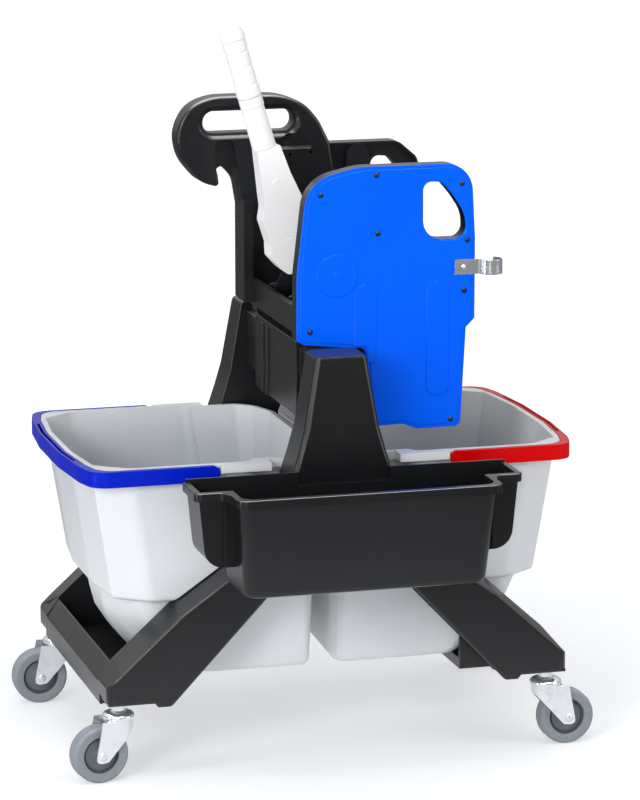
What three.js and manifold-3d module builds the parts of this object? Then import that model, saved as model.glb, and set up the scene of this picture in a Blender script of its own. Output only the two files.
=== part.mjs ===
// Two-bucket mop trolley with a side-press wringer, built as an assembly of separate pieces.
// Millimetres, +Z up, +X towards the red bucket, +Y away from the tray.
// Shapes are laid out round the middle of the four caster stems, with z = 0 on the floor; the last lines
// move the whole trolley so that the origin is the middle of its footprint.
import * as THREE from 'three';
import { mergeVertices } from 'three/addons/utils/BufferGeometryUtils.js';
import Module from 'manifold-3d';

const wasm = await Module();
wasm.setup();

// ---- clearances ----
const seat = 0.3; // between faces that rest or are fastened together
const running = 0.35; // radial play of a pin or axle in its bore
const sliding = 1; // play of parts that travel past each other
const guidePlay = 0.4; // play of the moving jaw in its guides
const through = 5; // how far a cutting shape runs past the face that it cuts

// ---- casters ----
const wheelSides = 20;
const wheelRadius = 38;
const wheelWidth = 26;
const tyreDepth = 12;
const casterTrail = 28;
const casterInset = 21; // from the chassis's ends to the stems
const casterSetBack = 30; // and from its front and rear faces
const casterTurns = { front_left: 8, rear_left: 0, front_right: 180, rear_right: 190 }; // in degrees
const axleRadius = 4;
const stemRadius = 6;
const stemHead = 3; // thickness of the head that holds the fork up on its stem
const capRadius = 21.5;
const collarRadius = 9.5;
const collarHeight = 14; // between the swivel's cap and the foot
const capHeight = 9;
const crownHeight = 4;
const forkPlate = 2.5;
const forkGap = 3.5; // between a wheel and the fork's side plates

// ---- chassis: one moulding used at the front and, turned half round, at the rear ----
const chassisHalfLength = 317;
const chassisHalfWidth = 221;
const casterX = chassisHalfLength - casterInset;
const casterY = chassisHalfWidth - casterSetBack;
const footZ = 107; // underside of the feet over the floor
const railTop = 141; // top of the end bar's outer edge
const railSlope = 0.9; // rise of the leg's top over the buckets' outer half
const shoulderX = 217;
const shoulderSlope = 0.7; // rise of the leg's top nearer the towers
const legDepth = 56;
const legTilt = 8.5; // how far the legs' top faces fall towards the outside
const barWidth = 19;
const panInner = 181; // inner edge of the pan that closes each end below its bucket
const panClearance = 3; // between that edge and the bucket's base
const barTop = 128.5; // outer top edge of the end bars
const barBottom = 98;
const skin = 4;
const seamY = 30; // where the two mouldings meet in the left end bar
const archHalf = 78;
const archZ = 262;
const towerShift = -3;
const towerFace = 243;
const towerBack = 180;
const towerTop = 560;
const towerLean = 10; // how far the tower's face falls back towards its top
const towerHalf = [98, 60, 51, 35.5]; // half-widths at the foot, waist, chest and top
const towerLevel = [315, 432, 464, 560];

// ---- centre bridge ----
const bridgeHalf = 30;
const bridgeTop = 557;
const bridgeBottom = 455;
const bridgeReach = 107;
const saddleHalf = 24; // half-width of the bridge's ends, which carry the wringer
const saddleBottom = 470;
const saddleTop = 546.7;
const ledgeReach = 14;
const ledgeHeight = 8;

// ---- buckets ----
const rimZ = 416;
const bucketWall = 3;
const bucketBase = 124;
const sideHalf = 185; // outer half-width of the wide part at the rim
const sideHalfLow = 176; // and at the shoulder
const endX = 331; // outer end at the rim
const endXLow = 300; // and at the shoulder
const wideStart = 94; // inner face of the wide part at the rim
const neckHalf = 171; // outer half-width between the towers at the rim
const neckHalfLegs = 163.5; // between the legs' tops
const neckHalfLow = 155; // and near the base
const neckEnd = 288; // outer end of the narrow part, clear of the end bar
const innerX = 6; // inner end at the rim
const innerXLow = 16; // and at the base
const innerSkew = 6; // how far one corner of the inner end stands out from that at the base
const lipDepth = 12; // depth of the lip round the narrow part
const ledgeDepth = 11; // and of the ledges between the towers and the bails
const lipHalf = 190;
const lipEnd = 334;
const bailPivotX = 168;
const bailPinRadius = 4;

// ---- bails ----
const bailHeight = 21;
const bailHalf = 198.5; // outer half-width
const bailEnd = 345;
const bailPlay = 0.7;
const bailSlot = 3.5;

// ---- tray ----
const trayRim = 408;
const trayBase = 273;
const trayFront = 369;
const trayHalf = 177;
const trayEarHalf = 220;
const trayEarFront = 314;
const trayEarBase = 308;
const trayWall = 3;
const trayLip = 5;
const trayBackRise = 4; // how far the rim stands higher along the tower
const pegReach = 40; // pegs on the legs that the tray rests on

// ---- wringer ----
const frameHalf = 137; // outer half-depth of the wringer
const coverThickness = 4;
const sideDepth = 25; // depth of each side of the wringer
const insideHalf = frameHalf - sideDepth;
const rearDepth = 12.2; // depth of the rear side's outer moulding
const rearSplit = frameHalf - rearDepth - seat;
const shellWall = 3;
const raised = 1.5; // height of the round and long pads on the blue cover
const pivotX = 17.4;
const pivotZ = 648;
const shaftRadius = 8;
const shaftTip = 6.5;
const bossRadius = 14;
const wringerLeft = -37;
const wringerRight = 209;
const wringerTop = 791;
const rearTop = 788;
const wringerBase = 435.5;
const footHalf = 24;
const postX = -50.5;
const postDepth = 50;
const handleTop = 858;
const handleDepth = 31; // the push handle is thicker than the side that it grows from
const tieBottom = 571;
const tieTop = 607;
const tieThickness = 8;

// ---- press ----
const plateX = 79; // back of the moving jaw, at rest
const plateThickness = 4;
const plateHalf = insideHalf - 6;
const plateBottom = 453;
const plateTop = 650;
const jawX = 183;
const jawThickness = 4;
const jawBottom = 446;
const jawTop = 652;
const guideLevels = [500, 628];
const guideHeight = 12;
const guideReach = insideHalf + 7; // the guide lugs run in the sides' ribs
const armHalf = 50; // the plate's two arms, measured to their middle planes
const armThickness = 6;

// ---- lever ----
const leverLean = 16.2; // degrees to the left of upright, at rest
const leverOffset = 16.5; // the grip's axis stands this far left of the pivot
const leverHalf = 18; // half of its depth
const castingTop = 165;
const neckTop = 237;
const gripTop = 317;
const leverTop = 337.5;
const gripRadius = 15.5;
const capTopRadius = 16.75;
const crankRadius = 60;
const crankAngle = 240; // degrees from +X, at rest
const crankThickness = 6;
const crankPin = 4;
const rollerRadius = 7;
const springRadius = 11.5;
const springWire = 1.3;

// ---- finishes ----
const finishes = {
  black: { color: 0x2a2b2d, roughness: 0.55, metalness: 0 },
  bucket: { color: 0xc9cdd2, roughness: 0.4, metalness: 0 },
  blue: { color: 0x0066ff, roughness: 0.4, metalness: 0 },
  bailBlue: { color: 0x0a28c8, roughness: 0.35, metalness: 0 },
  bailRed: { color: 0xc40c0c, roughness: 0.35, metalness: 0 },
  white: { color: 0xf2f2f2, roughness: 0.35, metalness: 0 },
  steel: { color: 0xc8cacc, roughness: 0.25, metalness: 1 },
  tyre: { color: 0x8b9196, roughness: 0.7, metalness: 0 },
  hub: { color: 0x6c7176, roughness: 0.6, metalness: 0 },
  nylon: { color: 0xe4e4de, roughness: 0.5, metalness: 0 },
};

const trolley = new THREE.Group();

// ======== shape helpers ========

// Wraps a closed geometry as a solid that can be joined and cut.
function solid(geometry) {
  const bare = geometry.clone();
  bare.deleteAttribute('normal');
  bare.deleteAttribute('uv');
  const merged = mergeVertices(bare, 1e-4);
  return new wasm.Manifold(new wasm.Mesh({
    numProp: 3,
    vertProperties: new Float32Array(merged.attributes.position.array),
    triVerts: new Uint32Array(merged.index.array),
  }));
}

function join(...parts) {
  return parts.reduce((whole, part) => whole.add(part));
}

function cut(body, ...tools) {
  return tools.reduce((rest, tool) => rest.subtract(tool), body);
}

// Adds a solid to the trolley as a named piece.
function piece(name, body, finish, parent = trolley) {
  const { vertProperties, triVerts } = body.getMesh();
  const geometry = new THREE.BufferGeometry();
  geometry.setAttribute('position', new THREE.BufferAttribute(new Float32Array(vertProperties), 3));
  geometry.setIndex(new THREE.BufferAttribute(new Uint32Array(triVerts), 1));
  geometry.computeVertexNormals();
  const mesh = new THREE.Mesh(geometry, new THREE.MeshStandardMaterial(finishes[finish]));
  mesh.name = name;
  parent.add(mesh);
  return mesh;
}

// Turns corners [x, y, radius] into points, each rounded corner becoming an arc of `steps` chords.
function rounded(corners, steps = 2) {
  const points = [];
  corners.forEach(([x, y, radius = 0], i) => {
    const here = new THREE.Vector2(x, y);
    const before = new THREE.Vector2(...corners.at(i - 1).slice(0, 2));
    const after = new THREE.Vector2(...corners[(i + 1) % corners.length].slice(0, 2));
    if (radius <= 0) {
      points.push(here);
      return;
    }
    const back = before.clone().sub(here);
    const ahead = after.clone().sub(here);
    const room = 0.49 * Math.min(back.length(), ahead.length());
    back.normalize();
    ahead.normalize();
    const half = Math.acos(THREE.MathUtils.clamp(back.dot(ahead), -1, 1)) / 2;
    const reach = Math.min(radius / Math.tan(half), room);
    const arcRadius = reach * Math.tan(half);
    const centre = back.clone().add(ahead).normalize().multiplyScalar(arcRadius / Math.sin(half)).add(here);
    const start = back.clone().multiplyScalar(reach).add(here).sub(centre);
    const end = ahead.clone().multiplyScalar(reach).add(here).sub(centre);
    const first = Math.atan2(start.y, start.x);
    let sweep = Math.atan2(end.y, end.x) - first;
    sweep -= 2 * Math.PI * Math.round(sweep / (2 * Math.PI));
    for (let k = 0; k <= steps; k += 1) {
      const angle = first + (sweep * k) / steps;
      points.push(new THREE.Vector2(Math.cos(angle), Math.sin(angle)).multiplyScalar(arcRadius).add(centre));
    }
  });
  return points;
}

// Moves every side of a counter-clockwise corner list inwards by a distance (outwards if negative).
function inset(corners, distance) {
  return corners.map(([x, y, radius = 0], i) => {
    const [px, py] = corners.at(i - 1);
    const [nx, ny] = corners[(i + 1) % corners.length];
    const arriving = new THREE.Vector2(x - px, y - py).normalize();
    const leaving = new THREE.Vector2(nx - x, ny - y).normalize();
    const scale = distance / (1 + arriving.dot(leaving));
    const convex = arriving.cross(leaving) > 0;
    const innerRadius = radius > 0 ? Math.max(radius + (convex ? -distance : distance), 0.5) : 0;
    return [
      x - (arriving.y + leaving.y) * scale,
      y + (arriving.x + leaving.x) * scale,
      innerRadius,
    ];
  });
}

// Mirrors corners at x = 0 and appends them, so that half an outline gives a whole one.
function mirrored(half) {
  return [...half, ...half.map(([x, y, r]) => [-x, y, r]).reverse()];
}

function circle(x, y, radius, sides = 16) {
  return Array.from({ length: sides }, (_, i) => {
    const angle = (2 * Math.PI * i) / sides;
    return new THREE.Vector2(x + radius * Math.cos(angle), y + radius * Math.sin(angle));
  });
}

// How each extrusion axis places the outline: x and y of the outline, then the direction of its depth.
const planes = {
  X: [new THREE.Vector3(0, 1, 0), new THREE.Vector3(0, 0, 1), new THREE.Vector3(1, 0, 0)],
  Y: [new THREE.Vector3(1, 0, 0), new THREE.Vector3(0, 0, 1), new THREE.Vector3(0, -1, 0)],
  Z: [new THREE.Vector3(1, 0, 0), new THREE.Vector3(0, 1, 0), new THREE.Vector3(0, 0, 1)],
};

// Extrudes an outline along an axis: on X it is drawn in (y, z), on Y in (x, z), on Z in (x, y).
function prism(axis, points, from, to) {
  const geometry = new THREE.ExtrudeGeometry(new THREE.Shape(points), { depth: to - from, bevelEnabled: false });
  const matrix = new THREE.Matrix4().makeBasis(...planes[axis]);
  matrix.setPosition(axis === 'X' ? from : 0, axis === 'Y' ? to : 0, axis === 'Z' ? from : 0);
  return solid(geometry.applyMatrix4(matrix));
}

function block(x0, x1, y0, y1, z0, z1) {
  const geometry = new THREE.BoxGeometry(x1 - x0, y1 - y0, z1 - z0);
  return solid(geometry.translate((x0 + x1) / 2, (y0 + y1) / 2, (z0 + z1) / 2));
}

// Skins a stack of outlines [depth, points] along an axis, all with the same number of points.
function loft(levels, axis = 'Z') {
  const count = levels[0][1].length;
  const positions = levels.flatMap(([z, points]) => points.flatMap((p) => [p.x, p.y, z]));
  const faces = [];
  for (let level = 0; level < levels.length - 1; level += 1) {
    for (let i = 0; i < count; i += 1) {
      const a = level * count + i;
      const b = level * count + ((i + 1) % count);
      faces.push(a, b, b + count, a, b + count, a + count);
    }
  }
  const caps = (points, offset, flip) => THREE.ShapeUtils.triangulateShape(points, []).forEach(([a, b, c]) => {
    faces.push(offset + a, offset + (flip ? c : b), offset + (flip ? b : c));
  });
  caps(levels[0][1], 0, true);
  caps(levels.at(-1)[1], (levels.length - 1) * count, false);
  const geometry = new THREE.BufferGeometry();
  geometry.setAttribute('position', new THREE.BufferAttribute(new Float32Array(positions), 3));
  geometry.setIndex(faces);
  return solid(geometry.applyMatrix4(new THREE.Matrix4().makeBasis(...planes[axis])));
}

// A plate lying across the Y axis, with its edges bevelled on both faces.
function bevelledPlate(corners, half, bevel) {
  const face = rounded(inset(corners, bevel));
  const edge = rounded(corners);
  return loft([[-half, face], [bevel - half, edge], [half - bevel, edge], [half, face]], 'Y');
}

// Outline of a flat link with a round end at each of two points.
function link(x0, y0, r0, x1, y1, r1, steps = 5) {
  const direction = Math.atan2(y1 - y0, x1 - x0);
  const arc = (x, y, radius, start) => Array.from({ length: steps + 1 }, (_, i) => {
    const angle = direction + start + (Math.PI * i) / steps;
    return new THREE.Vector2(x + radius * Math.cos(angle), y + radius * Math.sin(angle));
  });
  return [...arc(x0, y0, r0, Math.PI / 2), ...arc(x1, y1, r1, -Math.PI / 2)];
}

// Outline of a strip of even thickness along a path of points.
function strip(path, thickness) {
  const edge = (side) => path.map((point, i) => {
    const arriving = point.clone().sub(path[Math.max(i - 1, 0)]);
    const leaving = path[Math.min(i + 1, path.length - 1)].clone().sub(point);
    const along = arriving.normalize().add(leaving.normalize()).normalize();
    return new THREE.Vector2(along.y, -along.x).multiplyScalar((side * thickness) / 2).add(point);
  });
  return [...edge(1), ...edge(-1).reverse()];
}

// Revolves a profile of [radius, height] points, listed up its outer side, round the Y axis.
function revolve(profile, segments = 20) {
  return solid(new THREE.LatheGeometry(profile.map(([r, h]) => new THREE.Vector2(r, h)), segments));
}

// The same round an upright axis.
function turned(profile, segments = 20) {
  const geometry = new THREE.LatheGeometry(profile.map(([r, h]) => new THREE.Vector2(r, h)), segments);
  return solid(geometry.rotateX(Math.PI / 2));
}

// ======== chassis ========

// Height of the legs' top at a distance x from the middle.
function legTop(x) {
  const shoulder = railTop + railSlope * (chassisHalfLength - shoulderX);
  if (x >= shoulderX) return railTop + railSlope * (chassisHalfLength - x);
  return shoulder + shoulderSlope * (shoulderX - x);
}

// Level outline of the tower at a given height, `thin` inside its outer faces.
function towerRing(z, half, face, thin) {
  return [z, rounded([
    [towerShift - half + thin, thin - face, 8],
    [towerShift + half - thin, thin - face, 8],
    [towerShift + half - thin, -towerBack - thin, 3],
    [towerShift - half + thin, -towerBack - thin, 3],
  ], 2)];
}

// The tower rises from the legs, comes forward behind the tray and falls back towards its top.
function tower(thin) {
  const flush = chassisHalfWidth + 1;
  const [foot, waist, chest, top] = towerHalf;
  const [footZLevel, waistZ, chestZ, topZ] = towerLevel;
  const forwardZ = trayRim - 20;
  const forwardHalf = THREE.MathUtils.mapLinear(forwardZ, footZLevel, waistZ, foot, waist);
  const face = (z) => THREE.MathUtils.mapLinear(z, forwardZ, topZ, towerFace, towerFace - towerLean);
  const bevel = 5;
  return loft([
    towerRing(thin > 0 ? archZ - through : archZ + 20, foot, flush, thin),
    towerRing(footZLevel, foot, flush, thin),
    towerRing(forwardZ, forwardHalf, towerFace, thin),
    towerRing(waistZ, waist, face(waistZ), thin),
    towerRing(chestZ, chest, face(chestZ), thin),
    towerRing(topZ - bevel - thin, top, face(topZ - bevel), thin),
    towerRing(topZ - thin, top - bevel, face(topZ) - bevel, thin),
  ]);
}

// One end bar's channel section on the +X side, from the leg to its seam.
function endBar(side, seam) {
  const innerX = chassisHalfLength - barWidth;
  const outer = [
    [innerX, barBottom], [chassisHalfLength, barBottom, 3], [chassisHalfLength, barTop, 4],
    [innerX, legTop(innerX), 2],
  ];
  const drop = 2 * skin;
  const hollow = [
    [innerX + skin, barBottom - through], [chassisHalfLength - skin, barBottom - through],
    [chassisHalfLength - skin, barTop - drop / 2], [innerX + skin, legTop(innerX + skin) - drop],
  ];
  const start = legDepth - chassisHalfWidth - seat;
  const flip = (points) => points.map((p) => new THREE.Vector2(side * p.x, p.y));
  const bar = prism('Y', flip(rounded(outer, 2)), start, seam);
  return [bar, prism('Y', flip(rounded(hollow)), start, seam - skin)];
}

// The pan closes one end between the end bar, the leg and the bucket's base. Its inner edge turns up, and the
// leg's back wall comes down to it.
function endPan(side, seam) {
  const back = legDepth - chassisHalfWidth;
  const [near, far] = [panInner, chassisHalfLength - barWidth + skin].map((x) => side * x).sort((a, b) => a - b);
  const [edgeNear, edgeFar] = [panInner, panInner + skin].map((x) => side * x).sort((a, b) => a - b);
  const web = [[panInner, footZ], [chassisHalfLength - barWidth, footZ], [panInner, footZ + 60]]
    .map(([x, z]) => new THREE.Vector2(side * x, z));
  return join(
    block(near, far, back - skin, seam, footZ, footZ + skin),
    block(edgeNear, edgeFar, back - skin, seam, footZ, bucketBase - panClearance),
    prism('Y', web, back - skin, back),
  );
}

function chassisHalf() {
  const front = -chassisHalfWidth;
  const back = front + legDepth;
  const barX = chassisHalfLength - barWidth;
  const legOutline = (drop) => rounded(mirrored([
    [archHalf, archZ, 30], [230, footZ - 6, 8], [248, footZ - 6, 3], [253, footZ, 3],
    [chassisHalfLength, footZ, 8], [chassisHalfLength, barTop + 3, 5], [barX, legTop(barX) - drop, 6],
    [shoulderX, legTop(shoulderX) - drop, 60], [towerHalf[0], legTop(towerHalf[0]) - drop],
  ]));
  const legs = loft([[-back, legOutline(0)], [-front, legOutline(legTilt)]], 'Y');
  const edgeX = chassisHalfLength - skin;
  const hollowOutline = (drop) => rounded(mirrored([
    [edgeX, footZ - 30], [edgeX, barTop - skin], [barX, legTop(barX) - drop - skin],
    [shoulderX, legTop(shoulderX) - drop], [towerHalf[0], legTop(towerHalf[0]) - drop],
  ]));
  const legHollow = loft([
    [skin - back, hollowOutline(1.4 * skin)], [-front - skin, hollowOutline(1.4 * skin + legTilt)],
  ], 'Y');
  const [leftBar, leftHollow] = endBar(-1, seamY - seat / 2);
  const [rightBar, rightHollow] = endBar(1, -seamY - seat / 2);
  const ledge = block(-saddleHalf, saddleHalf, -towerBack - skin / 2, -towerBack + ledgeReach,
    saddleBottom - ledgeHeight, saddleBottom - seat);
  const pegs = [-1, 1].map((side) => {
    const [near, far] = [96, 114].map((x) => side * x).sort((a, b) => a - b);
    return block(near, far, front - pegReach, front + 2, trayBase - 11, trayBase - seat);
  });
  const feet = [-1, 1].map((side) => {
    const [near, far] = [253, chassisHalfLength - 2].map((x) => side * x).sort((a, b) => a - b);
    return join(
      block(near, far, front + 2, back - 2, footZ, footZ + skin),
      prism('Z', circle(side * casterX, -casterY, stemRadius + 7, 10), footZ, footZ + 34),
    );
  });
  const bores = [-1, 1].map((side) => (
    prism('Z', circle(side * casterX, -casterY, stemRadius + running, 10), footZ - through, footZ + 30)
  ));
  const pans = [endPan(-1, seamY - seat / 2), endPan(1, -seamY - seat / 2)];
  const shell = cut(join(legs, tower(0), leftBar, rightBar), legHollow, tower(skin), leftHollow, rightHollow);
  return cut(join(shell, ledge, ...pegs, ...feet, ...pans), ...bores);
}

function centreBridge() {
  const saddleReach = towerBack - seat;
  const middle = block(-bridgeHalf, bridgeHalf, -bridgeReach, bridgeReach, bridgeBottom, bridgeTop);
  const saddle = block(-saddleHalf, saddleHalf, -saddleReach, saddleReach, saddleBottom, saddleTop);
  const middleHollow = block(skin - bridgeHalf, bridgeHalf - skin, skin - bridgeReach, bridgeReach - skin,
    bridgeBottom - through, bridgeTop - skin);
  const saddleHollow = block(skin - saddleHalf, saddleHalf - skin, skin - saddleReach, saddleReach - skin,
    saddleBottom - through, saddleTop - skin);
  const ribs = [-1, 1].flatMap((side) => [66, 42].map((y) => {
    const [near, far] = [bridgeHalf - 1, bridgeHalf + 3].map((x) => side * x).sort((a, b) => a - b);
    return block(near, far, y - 3, y + 3, bridgeBottom, bridgeTop - 6);
  }));
  return join(cut(join(middle, saddle), middleHollow, saddleHollow), ...ribs);
}

piece('chassis_front_half', chassisHalf(), 'black');
piece('chassis_rear_half', chassisHalf(), 'black').rotation.z = Math.PI;
piece('centre_bridge', centreBridge(), 'black');

// ======== tray ========

// Plan of the tray's rim, with the ears narrower than the box.
function trayPlan() {
  const back = towerFace + seat;
  return [
    [-trayEarHalf, -back, 3], [-trayEarHalf, -trayEarFront, 10], [-trayHalf - 8, -trayEarFront, 5],
    [-trayHalf, -trayEarFront - 20, 8], [-trayHalf, -trayFront, 14],
    [trayHalf, -trayFront, 14], [trayHalf, -trayEarFront - 20, 8], [trayHalf + 8, -trayEarFront, 5],
    [trayEarHalf, -trayEarFront, 10], [trayEarHalf, -back, 3],
  ];
}

function trayForm(thin) {
  const back = towerFace + seat;
  const box = (z, half, front, rear) => [z, rounded([
    [-half + thin, -front + thin, 18], [half - thin, -front + thin, 18],
    [half - thin, -rear - thin, 4], [-half + thin, -rear - thin, 4],
  ])];
  const top = trayRim + (thin > 0 ? through : 0);
  const main = loft([
    box(trayBase + thin, trayHalf - 17, trayFront - 25, back + 6),
    box(trayBase + 8 + thin, trayHalf - 14, trayFront - 21, back + 4),
    box(top, trayHalf - trayLip, trayFront - trayLip, back),
  ]);
  const earHalf = trayEarHalf - trayLip;
  const ear = prism('Y', rounded(mirrored([
    [earHalf - 10 - thin, trayEarBase + thin, 26], [earHalf - thin, top],
  ])), -trayEarFront + trayLip + thin, -back - thin);
  return main.add(ear);
}

function tray() {
  const plan = trayPlan();
  const lipHeight = 11;
  const lip = prism('Z', rounded(plan), trayRim - lipHeight, trayRim);
  const under = prism('Z', rounded(inset(plan, trayLip / 2)), trayRim - lipHeight - through, trayRim - trayWall);
  const notchHalf = 62;
  const notch = block(towerShift - notchHalf, towerShift + notchHalf, -towerFace - 12, -towerFace + through,
    trayRim - 14, trayRim + through);
  const brim = cut(lip, cut(under, trayForm(0)));
  const back = towerFace + seat;
  const backRim = block(4 - trayEarHalf, trayEarHalf - 4, -back - trayWall, -back, trayRim - lipHeight,
    trayRim + trayBackRise);
  return cut(join(brim, trayForm(0), backRim), trayForm(trayWall), notch);
}

piece('utility_tray', tray(), 'black');

// ======== buckets and bails ========

// Level outline round the bucket's outer end, from its inner edge; used for the wall, the lip and the bail.
function endPlan(innerEdge, half, end, round = 8) {
  return [
    [innerEdge, -half, round], [end - 19, -half, 28], [end - 8, -half + 47, 40], [end, -60, 60],
    [end, 60, 60], [end - 8, half - 47, 40], [end - 19, half, 28], [innerEdge, half, round],
  ];
}

// Level outline of the narrow part, which reaches in between the towers. `chamfer` cuts its inner corners by
// its share of their size at the rim, and its outer end bulges from `corner` at the sides to `middle`.
function neckPlan({ inner, skew, chamfer, half, corner, middle }) {
  const innerCorner = (side) => [[0, 62, 12], [15, 20, 12], [36, 0, 14]].map(([along, across, radius]) => [
    inner + side * skew + chamfer * along, side * (half - chamfer * across), radius,
  ]);
  const bulge = middle - corner;
  const outerCorner = (side) => [
    [corner, side * half, 30], [corner + 0.7 * bulge, side * 0.62 * half, 60], [middle, side * 0.24 * half, 60],
  ];
  return [...innerCorner(-1), ...outerCorner(-1), ...outerCorner(1).reverse(), ...innerCorner(1).reverse()];
}

const neckRim = { inner: innerX, skew: 0, chamfer: 1, half: neckHalf, corner: neckEnd - 10, middle: neckEnd };

// Outer shape of a bucket, or, with `thin` its wall, the space inside it, which runs on above the rim.
function bucketForm(thin) {
  const top = rimZ + (thin > 0 ? through : 0);
  const base = legTop(shoulderX) + seat;
  const low = endPlan(wideStart + 18, sideHalfLow, endXLow);
  const wide = loft([
    [base - 10, rounded(inset(low, thin))],
    [top, rounded(inset(endPlan(wideStart, sideHalf, endX), thin))],
  ]);
  const floor = base + thin * Math.hypot(1, shoulderSlope);
  const startX = wideStart - 20;
  const aboveLegs = prism('Y', rounded([
    [startX, floor + shoulderSlope * (shoulderX - startX)], [shoulderX, floor, 20],
    [endX + through, floor], [endX + through, rimZ + 2 * through], [startX, rimZ + 2 * through],
  ]), -chassisHalfWidth, chassisHalfWidth);
  // The narrow part's levels: share of the way to the legs' tops, rounding-in at the base, outer corners, middle.
  const legsZ = legTop(towerHalf[0]) + 3;
  const levels = [
    [0, 6, 174, 222], [0.04, 0, 182, 240], [0.165, 0, 205, 262], [0.29, 0, 232, 277], [0.415, 0, 250, 283],
    [0.53, 0, 262, 285],
  ].map(([share, roundIn, corner, middle]) => [bucketBase + share * (legsZ - bucketBase) + thin, {
    inner: innerXLow + roundIn - 9 * share,
    skew: innerSkew * (1 - share),
    chamfer: 0.25 + 0.4 * share,
    half: neckHalfLow - roundIn + share * (neckHalfLegs - neckHalfLow),
    corner,
    middle,
  }]);
  const atLegs = { ...neckRim, chamfer: 0.7, half: neckHalfLegs, inner: innerX + 2, corner: neckEnd - 20 };
  const neck = loft([...levels, [legsZ, atLegs], [top, neckRim]].map(([z, plan]) => (
    [z, rounded(inset(neckPlan(plan), thin))]
  )));
  return wide.intersect(aboveLegs).add(neck);
}

// The rim is a flat lip all round, with a deep hollow ledge on each side between the tower and the bail.
function bucket() {
  const lipThickness = 4;
  const ledgeStart = wideStart - 6;
  const ledgeEnd = bailPivotX - bailHeight / 2 - sliding;
  const ledgeHalf = bailHalf - 1.5;
  const flange = prism('Z', rounded(endPlan(wideStart, lipHalf, lipEnd)), rimZ - lipThickness, rimZ);
  const neckLip = prism('Z', rounded(inset(neckPlan(neckRim), -3)), rimZ - lipDepth, rimZ);
  const ledge = block(ledgeStart, ledgeEnd, -ledgeHalf, ledgeHalf, rimZ - ledgeDepth, rimZ);
  const underLedge = block(ledgeStart + bucketWall, ledgeEnd - bucketWall, bucketWall - ledgeHalf,
    ledgeHalf - bucketWall, rimZ - ledgeDepth - through, rimZ - lipThickness);
  const pins = prism('Y', circle(bailPivotX, rimZ - bailHeight / 2, bailPinRadius, 10), -ledgeHalf, ledgeHalf);
  return cut(join(flange, neckLip, cut(ledge, underLedge), pins, bucketForm(0)), bucketForm(bucketWall));
}

function bail() {
  const below = rimZ - bailHeight;
  const near = lipHalf + bailPlay;
  const band = (half, end, overrun) => prism('Z', rounded(endPlan(bailPivotX - overrun, half, end, 0)),
    below - overrun, rimZ + overrun);
  const slotMiddle = (lipEnd + bailPlay + bailEnd) / 2;
  const slotHalf = 118;
  const slot = cut(band(bailHalf, slotMiddle + bailSlot / 2, through), band(bailHalf, slotMiddle - bailSlot / 2, through))
    .intersect(block(endX - bailHeight, bailEnd, -slotHalf, slotHalf, below - through, rimZ + through));
  const ends = [-1, 1].map((side) => {
    const [from, to] = [side * near, side * bailHalf].sort((a, b) => a - b);
    return prism('Y', circle(bailPivotX, rimZ - bailHeight / 2, bailHeight / 2, 16), from, to);
  });
  const bore = prism('Y', circle(bailPivotX, rimZ - bailHeight / 2, bailPinRadius + running, 10), -bailHalf - through,
    bailHalf + through);
  const hoop = cut(band(bailHalf, bailEnd, 0), band(near, lipEnd + bailPlay, 3 * through), slot);
  return cut(join(hoop, ...ends), bore);
}

piece('right_bucket', bucket(), 'bucket');
piece('left_bucket', bucket(), 'bucket').rotation.z = Math.PI;
piece('right_bail', bail(), 'bailRed');
piece('left_bail', bail(), 'bailBlue').rotation.z = Math.PI;

// ======== wringer frame ========

// Outline of the wringer's side: the hull round the lever above, the basket hanging into the bucket below.
const basket = [
  [70, 549, 8], [75, 442, 6], [110, 443, 20], [128, wringerBase, 20], [190, wringerBase, 10],
  [197, 570, 3], [wringerRight, 582, 3],
];
const frontSide = [
  ...basket, [wringerRight, wringerTop, 60], [wringerLeft, wringerTop, 95], [wringerLeft, 562, 6],
  [footHalf - 50, 557], [39, 549.5],
];
const rearSide = [
  ...basket, [wringerRight, 746, 10], [203, 765, 12], [176, rearTop, 24], [postX, rearTop, 6],
  [postX, 576, 3], [footHalf - 50, 574], [footHalf - 50, 557], [39, 549.5],
];
const handle = [
  [78, rearTop - 8], [78, rearTop, 8], [61, 820, 14], [41, 843, 20], [6, handleTop, 14],
  [-91, handleTop, 20], [-122, 845, 18], [-140.5, 811, 16], [-134, 775, 14], [-107, 742, 14], [-80, 734, 5],
  [-82, 757, 5], [-74, 761, 4], [-58, 744, 4], [postX, 707, 3], [wringerLeft, 707], [wringerLeft, rearTop - 8],
];
const handleSlot = [[-102, 808, 14.4], [23, 808, 14.4], [23, 837, 14.4], [-102, 837, 14.4]];
const handHole = [[136.5, 692, 16], [196, 690.5, 14], [196, 722, 14], [161, 768, 12], [136.5, 768, 20]];
const longPads = [
  [[41, 551], [72, 551], [72, 635, 15.4], [41, 635, 15.4]],
  [[141, 479, 15.4], [173, 479, 15.4], [173, 635, 15.4], [141, 635, 15.4]],
];
const coverScrews = [[-4.5, 756], [72, 780], [74, 702], [190, 764], [198, 688], [194, 620], [-19, 574], [176, 446]];
const hullSteps = 4; // chords in each rounded corner of the front side

// What a side of the wringer carries on its inside, between two depths; the left one is for the front.
function insideRibs(from, to) {
  const ribs = guideLevels.flatMap((level) => [-1, 1].map((side) => {
    const near = level + side * (guideHeight / 2 + guidePlay);
    const [low, high] = [near, near + side * shellWall].sort((a, b) => a - b);
    return block(plateX - 3, jawX - sliding, from, to, low, high);
  }));
  const jawPad = block(jawX, jawX + 7, from, to, wringerBase + 2, jawTop + 4);
  const sleeve = prism('Y', rounded(inset(handHole, -shellWall)), from, to);
  const boss = prism('Y', circle(pivotX, pivotZ, bossRadius), from, to);
  const struts = [[30, 600], [110, 600]].map(([x, top]) => block(x, x + shellWall, from, to, 552, top));
  return join(sleeve, boss, jawPad, ...ribs, ...struts);
}

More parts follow.
